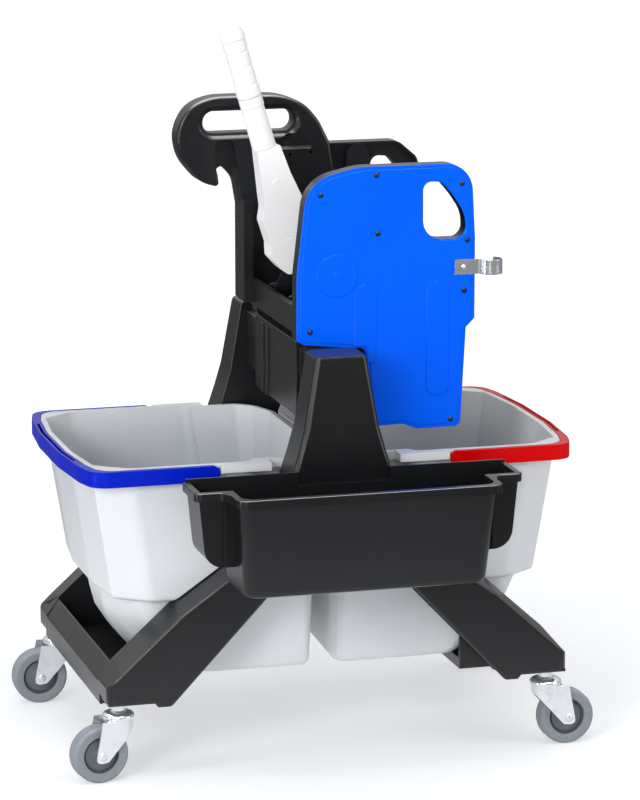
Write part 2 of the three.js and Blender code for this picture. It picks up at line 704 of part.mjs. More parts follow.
function frontCover() {
  const outer = -frameHalf;
  const inner = coverThickness - frameHalf;
  const plate = prism('Y', rounded(frontSide, hullSteps), outer, inner);
  const pads = longPads.map((pad) => prism('Y', rounded(pad), outer - raised, inner));
  const boss = prism('Y', circle(pivotX, pivotZ, 28.4, 24), outer - raised, inner);
  const screwWells = coverScrews.map(([x, z]) => (
    prism('Y', circle(x, z, 4, 6), outer - through, outer + coverThickness / 2)
  ));
  return cut(join(plate, boss, ...pads),
    prism('Y', rounded(handHole), outer - through, inner + through),
    prism('Y', circle(pivotX, pivotZ, shaftTip + running), outer - through, inner + through),
    ...screwWells);
}

function frontShell() {
  const outer = coverThickness - frameHalf + seat;
  const shell = prism('Y', rounded(frontSide, hullSteps), outer, -insideHalf);
  const hollow = prism('Y', rounded(inset(frontSide, shellWall), hullSteps), outer + shellWall,
    through - insideHalf);
  const foot = block(-footHalf, footHalf, outer, -insideHalf, saddleTop + seat, 562);
  return cut(join(cut(shell, hollow), foot, insideRibs(outer + shellWall / 2, -insideHalf)),
    prism('Y', rounded(handHole), outer - through, through - insideHalf),
    prism('Y', circle(pivotX, pivotZ, shaftRadius + running), outer - through, through - insideHalf));
}

function rearOutline(from, to) {
  return prism('Y', rounded(rearSide), from, to).add(prism('Y', rounded(handle), from, to));
}

function rearInnerShell() {
  const back = rearSplit;
  const hollow = prism('Y', rounded(inset(rearSide, shellWall)), insideHalf - through, back - shellWall);
  const foot = block(-footHalf, footHalf, insideHalf, back, saddleTop + seat, 562);
  const handleReach = frameHalf - handleDepth;
  const postReach = frameHalf - postDepth;
  const grip = prism('Y', rounded(handle), handleReach, back);
  const post = block(postX, wringerLeft - seat, postReach, back, 576, 716);
  const postHollow = block(postX + shellWall, wringerLeft - seat - shellWall, postReach + shellWall, back + through,
    576 + shellWall, 716 - shellWall);
  const pocket = prism('Y', rounded([[34, 800, 3], [58, 800, 4], [34, 822, 3]]), handleReach - through,
    handleReach + 5);
  const shell = join(cut(rearOutline(insideHalf, back), hollow), grip, foot, post,
    insideRibs(insideHalf, back - shellWall / 2));
  return cut(shell, postHollow, pocket,
    prism('Y', rounded(handHole), handleReach - through, back + through),
    prism('Y', rounded(handleSlot), handleReach - through, back + through),
    prism('Y', circle(pivotX, pivotZ, shaftRadius + running), insideHalf - through, back + through));
}

function rearOuterShell() {
  const front = rearSplit + seat;
  const hollow = prism('Y', rounded(inset(rearSide, shellWall)), front - through, frameHalf - shellWall);
  const sleeve = prism('Y', rounded(inset(handHole, -shellWall)), front, frameHalf);
  return cut(join(cut(rearOutline(front, frameHalf), hollow), sleeve),
    prism('Y', rounded(handHole), front - through, frameHalf + through),
    prism('Y', rounded(handleSlot), front - through, frameHalf + through));
}

// Steel clip that holds a mop's pole beside the wringer.
function poleClip() {
  const thickness = 1.5;
  const height = 20;
  const ringX = 230;
  const ringRadius = 15.25;
  const middleY = -frameHalf - seat - thickness / 2;
  const ring = Array.from({ length: 17 }, (_, i) => {
    const angle = Math.PI * (1 + i / 12);
    return new THREE.Vector2(ringX + ringRadius * Math.cos(angle), middleY + ringRadius * Math.sin(angle));
  });
  const path = [new THREE.Vector2(180, middleY), new THREE.Vector2(ringX - ringRadius - 3, middleY), ...ring];
  return prism('Z', strip(path, thickness), 642, 642 + height);
}

const span = insideHalf - seat;

function tieBar() {
  const left = wringerLeft;
  const outer = block(left, left + tieThickness, -span, span, tieBottom, tieTop);
  const hollow = block(left + shellWall, left + tieThickness + through, -span + 10, span - 10,
    tieBottom + shellWall, tieTop - shellWall);
  const ribs = [-60, 0, 60].map((y) => block(left + 1, left + tieThickness, y - 1.5, y + 1.5, tieBottom, tieTop));
  return join(cut(outer, hollow), ...ribs);
}

piece('wringer_front_cover', frontCover(), 'blue');
piece('wringer_front_shell', frontShell(), 'black');
piece('wringer_rear_inner_shell', rearInnerShell(), 'black');
piece('wringer_rear_outer_shell', rearOuterShell(), 'black');
piece('wringer_tie_bar', tieBar(), 'black');
piece('pole_clip', poleClip(), 'steel');

// ======== press ========

// Upright slots in a jaw, in columns across its width.
function drainSlots(x0, x1, rows) {
  const columns = 6;
  const pitch = 32;
  return rows.flatMap(([low, high]) => Array.from({ length: columns }, (_, i) => {
    const y = (i - (columns - 1) / 2) * pitch;
    return prism('X', rounded([[y - 4, low, 4], [y + 4, low, 4], [y + 4, high, 4], [y - 4, high, 4]], 1), x0, x1);
  }));
}

function fixedJaw() {
  const sheet = block(jawX, jawX + jawThickness, -span, span, jawBottom, jawTop);
  const lip = block(jawX, jawX + 14, 10 - span, span - 10, jawTop - jawThickness, jawTop);
  const rows = [[jawBottom + 18, jawBottom + 98], [jawBottom + 114, jawTop - 14]];
  const slots = drainSlots(jawX - through, jawX + jawThickness + through, rows);
  return cut(join(sheet, lip), ...slots);
}

function basketFloor() {
  const right = jawX - seat;
  const sheet = prism('Y', rounded([
    [76, 446], [111, 446, 6], [129, 439, 6], [right, 439], [right, 443], [129, 443, 6], [111, 450, 6], [76, 450],
  ], 1), -span, span);
  const slots = Array.from({ length: 6 }, (_, i) => {
    const y = (i - 2.5) * 34;
    return block(90, 170, y - 5, y + 5, 430, 460);
  });
  return cut(sheet, ...slots);
}

// The moving jaw; two arms reach back from it to the crank, each with an upright slot for a roller.
function pressPlate() {
  const face = plateX + plateThickness;
  const sheet = block(plateX, face, -plateHalf, plateHalf, plateBottom, plateTop);
  const teeth = Array.from({ length: 8 }, (_, i) => {
    const y = (i - 3.5) * 26;
    return prism('Z', [[face - 1, y - 6], [face + 4, y], [face - 1, y + 6]].map(([x, v]) => new THREE.Vector2(x, v)),
      plateBottom + 10, plateTop - 10);
  });
  const lugs = guideLevels.map((level) => (
    block(plateX, plateX + 12, -guideReach, guideReach, level - guideHeight / 2, level + guideHeight / 2)
  ));
  const crank = THREE.MathUtils.degToRad(crankAngle);
  const pinX = pivotX + crankRadius * Math.cos(crank);
  const pinZ = pivotZ + crankRadius * Math.sin(crank);
  const slotHalf = rollerRadius + 1.2;
  const lowest = pivotZ - crankRadius - slotHalf;
  const frame = 4.5;
  const armBottom = plateBottom + 67;
  const armTop = plateTop - 4;
  const arms = [-1, 1].map((side) => {
    const [from, to] = [armHalf - armThickness / 2, armHalf + armThickness / 2].map((y) => side * y)
      .sort((a, b) => a - b);
    const outline = rounded([
      [pinX - slotHalf - frame, lowest - frame, 5], [30, lowest - frame, 10], [plateX + 1, armBottom],
      [plateX + 1, armTop], [30, pinZ + slotHalf + frame, 10], [pinX - slotHalf - frame, pinZ + slotHalf + frame, 5],
    ]);
    const slot = rounded([
      [pinX - slotHalf, lowest, 6], [pinX + slotHalf, lowest, 6],
      [pinX + slotHalf, pinZ + slotHalf, 6], [pinX - slotHalf, pinZ + slotHalf, 6],
    ]);
    const window = rounded([
      [20, lowest + 5, 6], [plateX - 19, armBottom + 42, 6], [plateX - 19, armTop - 28, 6], [20, pinZ + 5, 6],
    ]);
    return cut(prism('Y', outline, from, to), prism('Y', slot, from - through, to + through),
      prism('Y', window, from - through, to + through));
  });
  return join(sheet, ...teeth, ...lugs, ...arms);
}

piece('fixed_jaw', fixedJaw(), 'black');
piece('basket_floor', basketFloor(), 'black');
piece('press_plate', pressPlate(), 'black');

// ======== lever and crank ========

function leverShaft() {
  const rearEnd = rearSplit - seat;
  const shaft = revolve([
    [0, -frameHalf - raised], [shaftTip, -frameHalf - raised], [shaftTip, seat - frameHalf + coverThickness],
    [shaftRadius, seat - frameHalf + coverThickness], [shaftRadius, rearEnd], [0, rearEnd],
  ], 14).translate([pivotX, 0, pivotZ]);
  const crank = THREE.MathUtils.degToRad(crankAngle);
  const pinX = pivotX + crankRadius * Math.cos(crank);
  const pinZ = pivotZ + crankRadius * Math.sin(crank);
  const inner = armHalf - armThickness / 2 - sliding - crankThickness;
  const outer = armHalf + armThickness / 2 + sliding;
  const cranks = [-1, 1].flatMap((side) => {
    const bar = (near, far, points) => {
      const [from, to] = [side * near, side * far].sort((a, b) => a - b);
      return prism('Y', points, from, to);
    };
    return [
      bar(inner, inner + crankThickness, link(pivotX, pivotZ, bossRadius, pinX, pinZ, 9)),
      bar(inner + 1, outer + 2, circle(pinX, pinZ, crankPin, 10)),
      bar(outer, outer + 2, circle(pinX, pinZ, crankPin + 1.5, 10)),
    ];
  });
  return join(shaft, ...cranks);
}

function crankRoller(side) {
  const crank = THREE.MathUtils.degToRad(crankAngle);
  const half = armThickness / 2 + sliding - seat;
  const bore = crankPin + running;
  return revolve([[bore, -half], [rollerRadius, -half], [rollerRadius, half], [bore, half], [bore, -half]], 12)
    .translate([pivotX + crankRadius * Math.cos(crank), side * armHalf, pivotZ + crankRadius * Math.sin(crank)]);
}

// Spring that brings the lever back, wound round the shaft behind the lever.
class Coil extends THREE.Curve {
  getPoint(t, target = new THREE.Vector3()) {
    const turns = 4;
    const angle = 2 * Math.PI * turns * t;
    const start = leverHalf + springWire + seat;
    const length = armHalf - armThickness / 2 - 2 * sliding - crankThickness - springWire - start;
    return target.set(springRadius * Math.cos(angle), start + length * t, springRadius * Math.sin(angle));
  }
}

function returnSpring() {
  const wire = new THREE.Shape(circle(0, 0, springWire, 5));
  const geometry = new THREE.ExtrudeGeometry(wire, { extrudePath: new Coil(), steps: 36, bevelEnabled: false });
  return solid(geometry.translate(pivotX, 0, pivotZ));
}

piece('lever_shaft', leverShaft(), 'steel');
piece('crank_roller_front', crankRoller(-1), 'nylon');
piece('crank_roller_rear', crankRoller(1), 'nylon');
piece('return_spring', returnSpring(), 'steel');

// The lever's own pieces are drawn upright round its pivot and leaned to rest together.
const lever = new THREE.Group();
lever.position.set(pivotX, 0, pivotZ);
lever.rotation.y = -THREE.MathUtils.degToRad(leverLean);
trolley.add(lever);

function leverCasting() {
  const body = bevelledPlate([
    [28, -28, 27], [28, 22, 30], [13, 76, 40], [5, 125, 30], [gripRadius - leverOffset + 1, castingTop, 3],
    [-gripRadius - leverOffset - 1, castingTop, 3], [-38, 136, 20], [-44.5, 88, 8], [-50, 72, 10], [-49, 40, 6],
    [-53.5, 22, 8], [-44, 3, 6], [-37, -7, 6], [-22, -9, 8], [-21, -28, 14],
  ], leverHalf, 3.5);
  return cut(body, prism('Y', circle(0, 0, shaftRadius + seat), -leverHalf - through, leverHalf + through));
}

const stickSides = 14;
const stick = (profile, segments) => turned(profile, segments).translate([-leverOffset, 0, 0]);

function leverNeck() {
  const foot = castingTop + seat;
  const top = neckTop - seat;
  return stick([
    [0, foot], [gripRadius, foot], [gripRadius, 223], [gripRadius - 1, 224], [gripRadius, 225], [gripRadius, top - 1.5],
    [gripRadius - 1.5, top], [0, top],
  ], stickSides);
}

// A waisted grip with three finger grooves.
function leverGrip() {
  const grooves = [254, 279, 300];
  const profile = [[0, neckTop], [gripRadius - 1, neckTop], [gripRadius, neckTop + 2]];
  grooves.forEach((s) => {
    const waist = gripRadius - 1.2 * Math.sin((Math.PI * (s - neckTop)) / (gripTop - neckTop));
    profile.push([waist, s - 3], [waist - 1.2, s], [waist, s + 3]);
  });
  profile.push([gripRadius, gripTop - seat], [0, gripTop - seat]);
  return stick(profile, stickSides);
}

function leverCap() {
  return stick([
    [0, gripTop], [capTopRadius, gripTop], [capTopRadius, leverTop - 6], [capTopRadius - 2, leverTop - 2],
    [capTopRadius - 6, leverTop], [0, leverTop],
  ], stickSides);
}

piece('lever_casting', leverCasting(), 'white', lever);
piece('lever_neck', leverNeck(), 'white', lever);
piece('lever_grip', leverGrip(), 'white', lever);
piece('lever_cap', leverCap(), 'white', lever);

// ======== casters ========

const capTop = footZ - collarHeight;
const crownTop = capTop - capHeight;
const headTop = crownTop - crownHeight;

function casterStem() {
  const top = footZ + 29;
  return turned([
    [0, headTop - stemHead], [stemRadius + 3, headTop - stemHead], [stemRadius + 3, headTop], [stemRadius, headTop],
    [stemRadius, top], [0, top],
  ], 10);
}

// Level outline of the fork: straight sides joined by a half-round front, `thin` inside its outer face.
function forkPlan(end, thin) {
  const half = wheelWidth / 2 + forkGap + forkPlate - thin;
  const front = Array.from({ length: 9 }, (_, i) => {
    const angle = (Math.PI * (i - 4)) / 8;
    return new THREE.Vector2(half * Math.cos(angle), half * Math.sin(angle));
  });
  return [new THREE.Vector2(end, -half), ...front, new THREE.Vector2(end, half)];
}

// The fork is pressed from one sheet: its lower edge climbs straight from the axle to its round front.
function casterFork() {
  const half = wheelWidth / 2 + forkGap + forkPlate;
  const rear = -casterTrail - 9;
  const bearing = turned([
    [0, crownTop], [capRadius - 1, crownTop], [capRadius, crownTop + 2], [capRadius, capTop - 4],
    [capRadius - 2.5, capTop - 0.5], [capRadius - 5, capTop], [collarRadius, capTop - 2],
    [collarRadius, footZ - seat], [0, footZ - seat],
  ], 18);
  const skirt = cut(
    prism('Z', forkPlan(rear, 0), wheelRadius - 12, crownTop + seat),
    prism('Z', forkPlan(rear - through, forkPlate), wheelRadius - 12 - through, headTop + seat),
    block(rear - through, -18, forkPlate - half, half - forkPlate, headTop, crownTop + through),
  );
  const profile = prism('Y', rounded([
    [rear, wheelRadius - 7, 7], [-casterTrail - 3, wheelRadius - 9, 7], [-casterTrail + 7, wheelRadius - 8, 6],
    [capRadius, crownTop - 7, 4], [capRadius, crownTop + 1], [-casterTrail, crownTop + 1],
    [rear, wheelRadius, 6],
  ]), -half - 1, half + 1);
  return cut(join(skirt.intersect(profile), bearing),
    prism('Z', circle(0, 0, stemRadius + running, 10), headTop - through, footZ + through),
    prism('Y', circle(-casterTrail, wheelRadius, axleRadius + running, 10), -half - forkPlate, half + forkPlate));
}

function atAxle(profile, segments) {
  return revolve(profile, segments).translate([-casterTrail, 0, wheelRadius]);
}

function casterAxle() {
  const grip = wheelWidth / 2 + forkGap + forkPlate + seat;
  const end = grip + 2;
  const head = axleRadius + 1.6;
  return atAxle([
    [0, -end], [head - 1, -end], [head, -grip], [axleRadius, -grip],
    [axleRadius, grip], [head, grip], [head - 1, end], [0, end],
  ], 10);
}

const hubRadius = wheelRadius - tyreDepth;

function casterHub() {
  const half = wheelWidth / 2 - 1;
  const web = 6;
  const bore = axleRadius + running;
  const rim = hubRadius - seat;
  return atAxle([
    [bore, -half], [9, -half], [11, -web], [rim - 4, -web], [rim - 3, -half], [rim, -half],
    [rim, half], [rim - 3, half], [rim - 4, web], [11, web], [9, half], [bore, half], [bore, -half],
  ], wheelSides);
}

function casterTyre() {
  const half = wheelWidth / 2;
  return atAxle([
    [hubRadius, 1 - half], [wheelRadius - 6, -half], [wheelRadius - 2, 1.5 - half], [wheelRadius, 6 - half],
    [wheelRadius, half - 6], [wheelRadius - 2, half - 1.5], [wheelRadius - 6, half], [hubRadius, half - 1],
    [hubRadius, 1 - half],
  ], wheelSides);
}

const corners = [['front_left', -1, -1], ['rear_left', -1, 1], ['front_right', 1, -1], ['rear_right', 1, 1]];
corners.forEach(([place, sideX, sideY]) => {
  const caster = new THREE.Group();
  caster.position.set(sideX * casterX, sideY * casterY, 0);
  caster.rotation.z = THREE.MathUtils.degToRad(casterTurns[place]);
  trolley.add(caster);
  piece(`caster_stem_${place}`, casterStem(), 'steel', caster);
  piece(`caster_fork_${place}`, casterFork(), 'steel', caster);
  piece(`caster_axle_${place}`, casterAxle(), 'steel', caster);
  piece(`wheel_hub_${place}`, casterHub(), 'hub', caster);
  piece(`wheel_tyre_${place}`, casterTyre(), 'tyre', caster);
});

// ======== frame ========

const box = new THREE.Box3().setFromObject(trolley);
trolley.position.set(-(box.min.x + box.max.x) / 2, -(box.min.y + box.max.y) / 2, -box.min.z);

export default trolley;
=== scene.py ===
# Two-bucket mop trolley with a side-press wringer. Lengths are written in millimetres from the middle of the four
# caster stems, with the floor at zero; place() turns them into the frame's metres.
import math

import bpy
from mathutils import Matrix, Vector


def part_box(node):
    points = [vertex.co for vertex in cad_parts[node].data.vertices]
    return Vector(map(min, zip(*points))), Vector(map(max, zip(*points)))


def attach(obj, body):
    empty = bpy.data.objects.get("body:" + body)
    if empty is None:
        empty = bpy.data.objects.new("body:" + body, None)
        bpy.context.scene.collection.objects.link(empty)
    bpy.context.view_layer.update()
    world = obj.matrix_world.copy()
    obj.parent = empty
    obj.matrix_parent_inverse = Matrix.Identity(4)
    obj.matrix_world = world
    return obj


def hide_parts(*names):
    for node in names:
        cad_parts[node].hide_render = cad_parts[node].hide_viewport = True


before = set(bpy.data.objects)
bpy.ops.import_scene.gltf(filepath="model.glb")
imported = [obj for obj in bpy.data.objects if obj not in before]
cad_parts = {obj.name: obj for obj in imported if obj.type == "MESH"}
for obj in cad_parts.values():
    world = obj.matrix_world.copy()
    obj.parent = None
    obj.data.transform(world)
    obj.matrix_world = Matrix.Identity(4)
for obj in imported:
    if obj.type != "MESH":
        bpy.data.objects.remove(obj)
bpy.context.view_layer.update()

MM = 0.001
# The frame's origin isn't half way along the depth, and the right bucket stands even on both sides of the middle.
MIDDLE_Y = sum(corner.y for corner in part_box("right_bucket")) / 2
SAME_POINT = 1e-6
NEAR_POINT = 2e-5


# -------- modelling helpers

def deselect():
    """Object mode with nothing selected."""
    if bpy.context.object and bpy.context.object.mode != "OBJECT":
        bpy.ops.object.mode_set(mode="OBJECT")
    bpy.ops.object.select_all(action="DESELECT")


def activate(piece):
    deselect()
    piece.select_set(True)
    bpy.context.view_layer.objects.active = piece


def edit(piece, mode="VERT", select="SELECT"):
    activate(piece)
    bpy.ops.object.mode_set(mode="EDIT")
    bpy.ops.mesh.select_mode(type=mode)
    bpy.ops.mesh.select_all(action=select)


def done():
    bpy.ops.object.mode_set(mode="OBJECT")


def edit_edges(piece, pairs):
    """Edit mode with only the edges between these pairs of vertices selected."""
    edit(piece, "EDGE", "DESELECT")
    done()
    wanted = {frozenset(pair) for pair in pairs}
    for edge in piece.data.edges:
        edge.select = frozenset(edge.vertices) in wanted
    activate(piece)
    bpy.ops.object.mode_set(mode="EDIT")


def close_ends(piece):
    """A face over each open end."""
    edit(piece, "EDGE", "DESELECT")
    bpy.ops.mesh.select_non_manifold()
    bpy.ops.mesh.edge_face_add()
    done()


def weld(piece, distance):
    """Joins points that lie together, and takes out the edges that cross a flat face."""
    edit(piece)
    bpy.ops.mesh.remove_doubles(threshold=distance)
    bpy.ops.mesh.dissolve_limited(angle_limit=math.radians(0.5))
    done()


def new_object(name, data):
    made = bpy.data.objects.new(name, data)
    bpy.context.scene.collection.objects.link(made)
    return made


def apply(piece, kind, **settings):
    """Adds a modifier of a kind with its settings, and applies it."""
    modifier = piece.modifiers.new("step", kind)
    for name, value in settings.items():
        setattr(modifier, name, value)
    activate(piece)
    bpy.ops.object.modifier_apply(modifier=modifier.name)
    return piece


def place(x, y, z):
    """A point of the drawings in the frame's metres."""
    return Vector((x * MM, y * MM + MIDDLE_Y, z * MM))


def on_plane(plane, u, v, depth):
    """A point on a front (x, z), side (y, z) or level (x, y) drawing at a depth."""
    if plane == "front":
        return place(u, depth, v)
    if plane == "side":
        return place(depth, u, v)
    return place(u, v, depth)


def rounded(corners, steps=8):
    """Points of an outline whose corners (x, y, radius) are arcs of `steps` chords."""
    points = []
    for i, corner in enumerate(corners):
        here = Vector(corner[:2])
        radius = corner[2] if len(corner) > 2 else 0
        if radius <= 0:
            points.append(here)
            continue
        back = Vector(corners[i - 1][:2]) - here
        ahead = Vector(corners[(i + 1) % len(corners)][:2]) - here
        room = 0.49 * min(back.length, ahead.length)
        back.normalize()
        ahead.normalize()
        half = math.acos(max(-1, min(1, back.dot(ahead)))) / 2
        reach = min(radius / math.tan(half), room)
        arc = reach * math.tan(half)
        centre = here + (back + ahead).normalized() * (arc / math.sin(half))
        start = here + back * reach - centre
        end = here + ahead * reach - centre
        first = math.atan2(start.y, start.x)
        sweep = math.atan2(end.y, end.x) - first
        sweep -= 2 * math.pi * round(sweep / (2 * math.pi))
        for k in range(steps + 1):
            angle = first + sweep * k / steps
            points.append(centre + arc * Vector((math.cos(angle), math.sin(angle))))
    return points


def inset(corners, distance):
    """Moves every side of a counter-clockwise corner list inwards, or outwards if negative."""
    result = []
    for i, corner in enumerate(corners):
        here = Vector(corner[:2])
        radius = corner[2] if len(corner) > 2 else 0
        arriving = (here - Vector(corners[i - 1][:2])).normalized()
        leaving = (Vector(corners[(i + 1) % len(corners)][:2]) - here).normalized()
        scale = distance / (1 + arriving.dot(leaving))
        convex = arriving.cross(leaving) > 0
        if radius > 0:
            radius = max(radius + (-distance if convex else distance), 0.5)
        result.append((here.x - (arriving.y + leaving.y) * scale, here.y + (arriving.x + leaving.x) * scale, radius))
    return result


def mirrored(half):
    """Half an outline followed by its mirror image about x = 0."""
    return list(half) + [(-c[0], *c[1:]) for c in reversed(half)]


def circle(x, y, radius, sides=32):
    return [Vector((x + radius * math.cos(2 * math.pi * i / sides), y + radius * math.sin(2 * math.pi * i / sides)))
            for i in range(sides)]


def span(side, inner, outer):
    """The low and high end of a stretch on one side (-1 or 1) of the middle."""
    return sorted((side * inner, side * outer))


def ring(points, fill="NOTHING"):
    """A new piece: one closed loop of vertices, filled or not."""
    deselect()
    bpy.ops.mesh.primitive_circle_add(vertices=len(points), radius=0.01, fill_type=fill)
    piece = bpy.context.object
    for vertex, point in zip(piece.data.vertices, points):
        vertex.co = point
    return piece


def face_out(piece):
    edit(piece)
    bpy.ops.mesh.normals_make_consistent(inside=False)
    done()
    return piece


def prism(plane, outline, near, far):
    """An outline drawn on a plane and extruded between two depths."""
    piece = ring([on_plane(plane, p[0], p[1], near) for p in outline], "NGON")
    edit(piece, "FACE")
    travel = on_plane(plane, 0, 0, far) - on_plane(plane, 0, 0, near)
    bpy.ops.mesh.extrude_region_move(TRANSFORM_OT_translate={"value": travel})
    done()
    return face_out(piece)


def block(x0, x1, y0, y1, z0, z1):
    return prism("level", [(x0, y0), (x1, y0), (x1, y1), (x0, y1)], z0, z1)


def skin(plane, rings):
    """A skin over a stack of outlines (depth, points) with as many points each, closed at both ends."""
    loops = [[on_plane(plane, p[0], p[1], depth) for p in points] for depth, points in rings]
    piece = ring(loops[0], "NGON")
    order = list(range(len(loops[0])))
    for loop in loops[1:]:
        spot = {tuple(piece.data.vertices[index].co): k for k, index in enumerate(order)}
        edit_edges(piece, zip(order, order[1:] + order[:1]))
        bpy.ops.mesh.extrude_edges_move(TRANSFORM_OT_translate={"value": (0, 0, 0)})
        done()
        for vertex in piece.data.vertices:
            if vertex.select:
                k = spot[tuple(vertex.co)]
                order[k] = vertex.index
                vertex.co = loop[k]
    close_ends(piece)
    return face_out(piece)


def turned(profile, centre, axis, steps=48):
    """A profile of (radius, distance along the axis) spun round an axis at right angles to X.

    It starts and ends on the axis, or closes on itself."""
    axis = Vector(axis).normalized()
    side = Vector((1, 0, 0))
    piece = ring([centre + side * r * MM + axis * h * MM for r, h in profile])
    if profile[0][0] == 0 and profile[-1][0] == 0:
        edit_edges(piece, [(0, len(profile) - 1)])
        bpy.ops.mesh.delete(type="EDGE")
        done()
    edit(piece)
    bpy.ops.mesh.spin(steps=steps, angle=2 * math.pi, center=centre, axis=axis)
    bpy.ops.mesh.select_all(action="SELECT")
    bpy.ops.mesh.remove_doubles(threshold=SAME_POINT)
    done()
    return face_out(piece)


def combine(piece, others, operation):
    for other in others:
        apply(piece, "BOOLEAN", object=other, operation=operation, solver="MANIFOLD")
        bpy.data.objects.remove(other)
    return piece


def join(piece, *others):
    return combine(piece, others, "UNION")


def cut(piece, *others):
    return combine(piece, others, "DIFFERENCE")


def common(piece, *others):
    return combine(piece, others, "INTERSECT")


def soften(piece, width=0.8, segments=2, angle=32):
    """Small radii on all sharp edges, smooth between them."""
    weld(piece, NEAR_POINT)
    apply(piece, "BEVEL", width=width * MM, segments=segments, limit_method="ANGLE", angle_limit=math.radians(angle),
          miter_outer="MITER_ARC", use_clamp_overlap=True, harden_normals=False)
    return smooth(piece)


def shade(piece):
    activate(piece)
    bpy.ops.object.shade_smooth_by_angle(angle=math.radians(38))


def smooth(piece):
    shade(piece)
    return apply(piece, "WEIGHTED_NORMAL", keep_sharp=True)


def duplicate(piece, matrix):
    copy = new_object(piece.name, piece.data.copy())
    copy.data.transform(matrix)
    return copy


def node_copy(node):
    """A welded copy of a CAD node's mesh, to be worked on."""
    piece = new_object(node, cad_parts[node].data.copy())
    weld(piece, SAME_POINT)
    return piece


def half_turn():
    """Half a turn about the upright through the trolley's middle."""
    centre = Matrix.Translation((0, MIDDLE_Y, 0))
    return centre @ Matrix.Rotation(math.pi, 4, "Z") @ centre.inverted()


def present(piece, name, body, material, slot, *nodes):
    """Names a finished piece, gives it its finish and its body, and hides the CAD nodes it stands for."""
    piece.name = name
    piece.data.name = name
    piece.data.materials.clear()
    piece.data.materials.append(material)
    for face in piece.data.polygons:
        face.material_index = 0
    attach(piece, body)
    if nodes:
        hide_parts(*nodes)
    return piece


def present_node(node, width, segments, name, body, material, slot):
    """A CAD node's own shape, with softened edges."""
    present(soften(node_copy(node), width, segments), name, body, material, slot, node)


# -------- finishes

class Value:
    """Sums on shader sockets, written like ordinary arithmetic."""

    def __init__(self, graph, socket):
        self.graph = graph
        self.socket = socket

    def sum(self, kind, other, clamp=False):
        return self.graph.node("ShaderNodeMath", inputs={0: self, 1: other}, operation=kind, use_clamp=clamp)

    def __add__(self, other):
        return self.sum("ADD", other)

    def __sub__(self, other):
        return self.sum("SUBTRACT", other)

    def __mul__(self, other):
        return self.sum("MULTIPLY", other)

    def larger(self, other):
        return self.sum("MAXIMUM", other)

    def above(self, low, high):
        """0 below `low`, 1 above `high`, straight between."""
        return (self - low).sum("MULTIPLY", 1 / (high - low), clamp=True)


class Graph:
    """The nodes of one material, or of the world."""

    def __init__(self, owner):
        owner.use_nodes = True
        self.owner = owner
        self.nodes = owner.node_tree.nodes
        self.links = owner.node_tree.links
        self.shader = self.nodes.get("Principled BSDF")
        self.place = self.node("ShaderNodeTexCoord", out="Object")

    def feed(self, socket, value):
        if isinstance(value, Value):
            self.links.new(value.socket, socket)
        else:
            socket.default_value = value

    def node(self, kind, out=0, inputs=None, **settings):
        node = self.nodes.new(kind)
        for name, value in settings.items():
            setattr(node, name, value)
        for name, value in (inputs or {}).items():
            self.feed(node.inputs[name], value)
        return Value(self, node.outputs[out])

    def noise(self, scale, detail=2.0, roughness=0.5, stretch=(1, 1, 1)):
        where = self.node("ShaderNodeMapping", inputs={"Vector": self.place, "Scale": stretch})
        return self.node("ShaderNodeTexNoise", inputs={
            "Vector": where, "Scale": scale, "Detail": detail, "Roughness": roughness})

    def along(self, vector, axis):
        return self.node("ShaderNodeSeparateXYZ", out=axis, inputs={"Vector": vector})

    def rays(self):
        """1 on camera, glossy and transmission rays in turn."""
        return [self.node("ShaderNodeLightPath", out=f"Is {kind} Ray") for kind in ("Camera", "Glossy", "Transmission")]

    def upward(self):
        return self.along(self.node("ShaderNodeNewGeometry", out="Normal"), "Z")

    def blend(self, share, low, high):
        """A colour between two; sockets 6 and 7 and output 2 are the mix node's colour ones."""
        return self.node("ShaderNodeMix", out=2, inputs={"Factor": share, 6: low, 7: high}, data_type="RGBA")

    def bump(self, height, distance, strength=1.0, under=None):
        inputs = {"Height": height, "Distance": distance, "Strength": strength}
        if under:
            inputs["Normal"] = under
        return self.node("ShaderNodeBump", inputs=inputs)

    def finish(self, **sockets):
        for name, value in sockets.items():
            self.feed(self.shader.inputs[name.replace("_", " ").title().replace("Ior", "IOR")], value)
        return self.owner


def colour(red, green, blue):
    """A shader colour from the three 0-255 numbers of a paint chart (sRGB)."""
    def linear(part):
        part /= 255
        return part / 12.92 if part <= 0.04045 else ((part + 0.055) / 1.055) ** 2.4
    return (linear(red), linear(green), linear(blue), 1.0)


def plastic(name, tone, gloss, grain, depth, dust_and_top_light=None, streaks=0.05, shine=0.3, hollow=None):
    """Moulded plastic: a fine moulded grain, slightly cloudy colour and gloss, and a little settled dust on upward
    faces that also paints the light falling on tops.

    `hollow` is a darker tone painted into its closed-in places: painted shade where less light reaches."""
    graph = Graph(bpy.data.materials.new(name))
    cloud = graph.noise(9, 3)
    speckle = graph.noise(900, 2)
    rub = graph.noise(60, 4, 0.65)
    dark = tuple(c * 0.96 for c in tone[:3]) + (1.0,)
    base = graph.blend(cloud.above(0.35, 0.65), dark, tone)
    if dust_and_top_light:
        # Upward faces take the dust colour: partly real dust, partly painted top light that makes the tops lighter.
        dust_and_top_light_share = graph.upward().above(0.5, 1.0) * (rub * 0.2 + 0.3)
        base = graph.blend(dust_and_top_light_share, base, dust_and_top_light)
    if hollow:
        # Painted shade: ambient occlusion darkens the closed-in places towards the hollow tone.
        openness = graph.node("ShaderNodeAmbientOcclusion", out="AO", inputs={"Distance": 0.4}, only_local=True)
        base = graph.blend(openness.above(0.3, 0.55), hollow, base)
    rough = cloud * 0.10 + rub * streaks + speckle * 0.04 + gloss
    fine = graph.bump(graph.noise(grain, 2, 0.6), depth)
    wavy = graph.bump(graph.noise(14, 1), 0.0004, 0.2, fine)
    return graph.finish(base_color=base, roughness=rough, normal=wavy, specular_ior_level=shine)


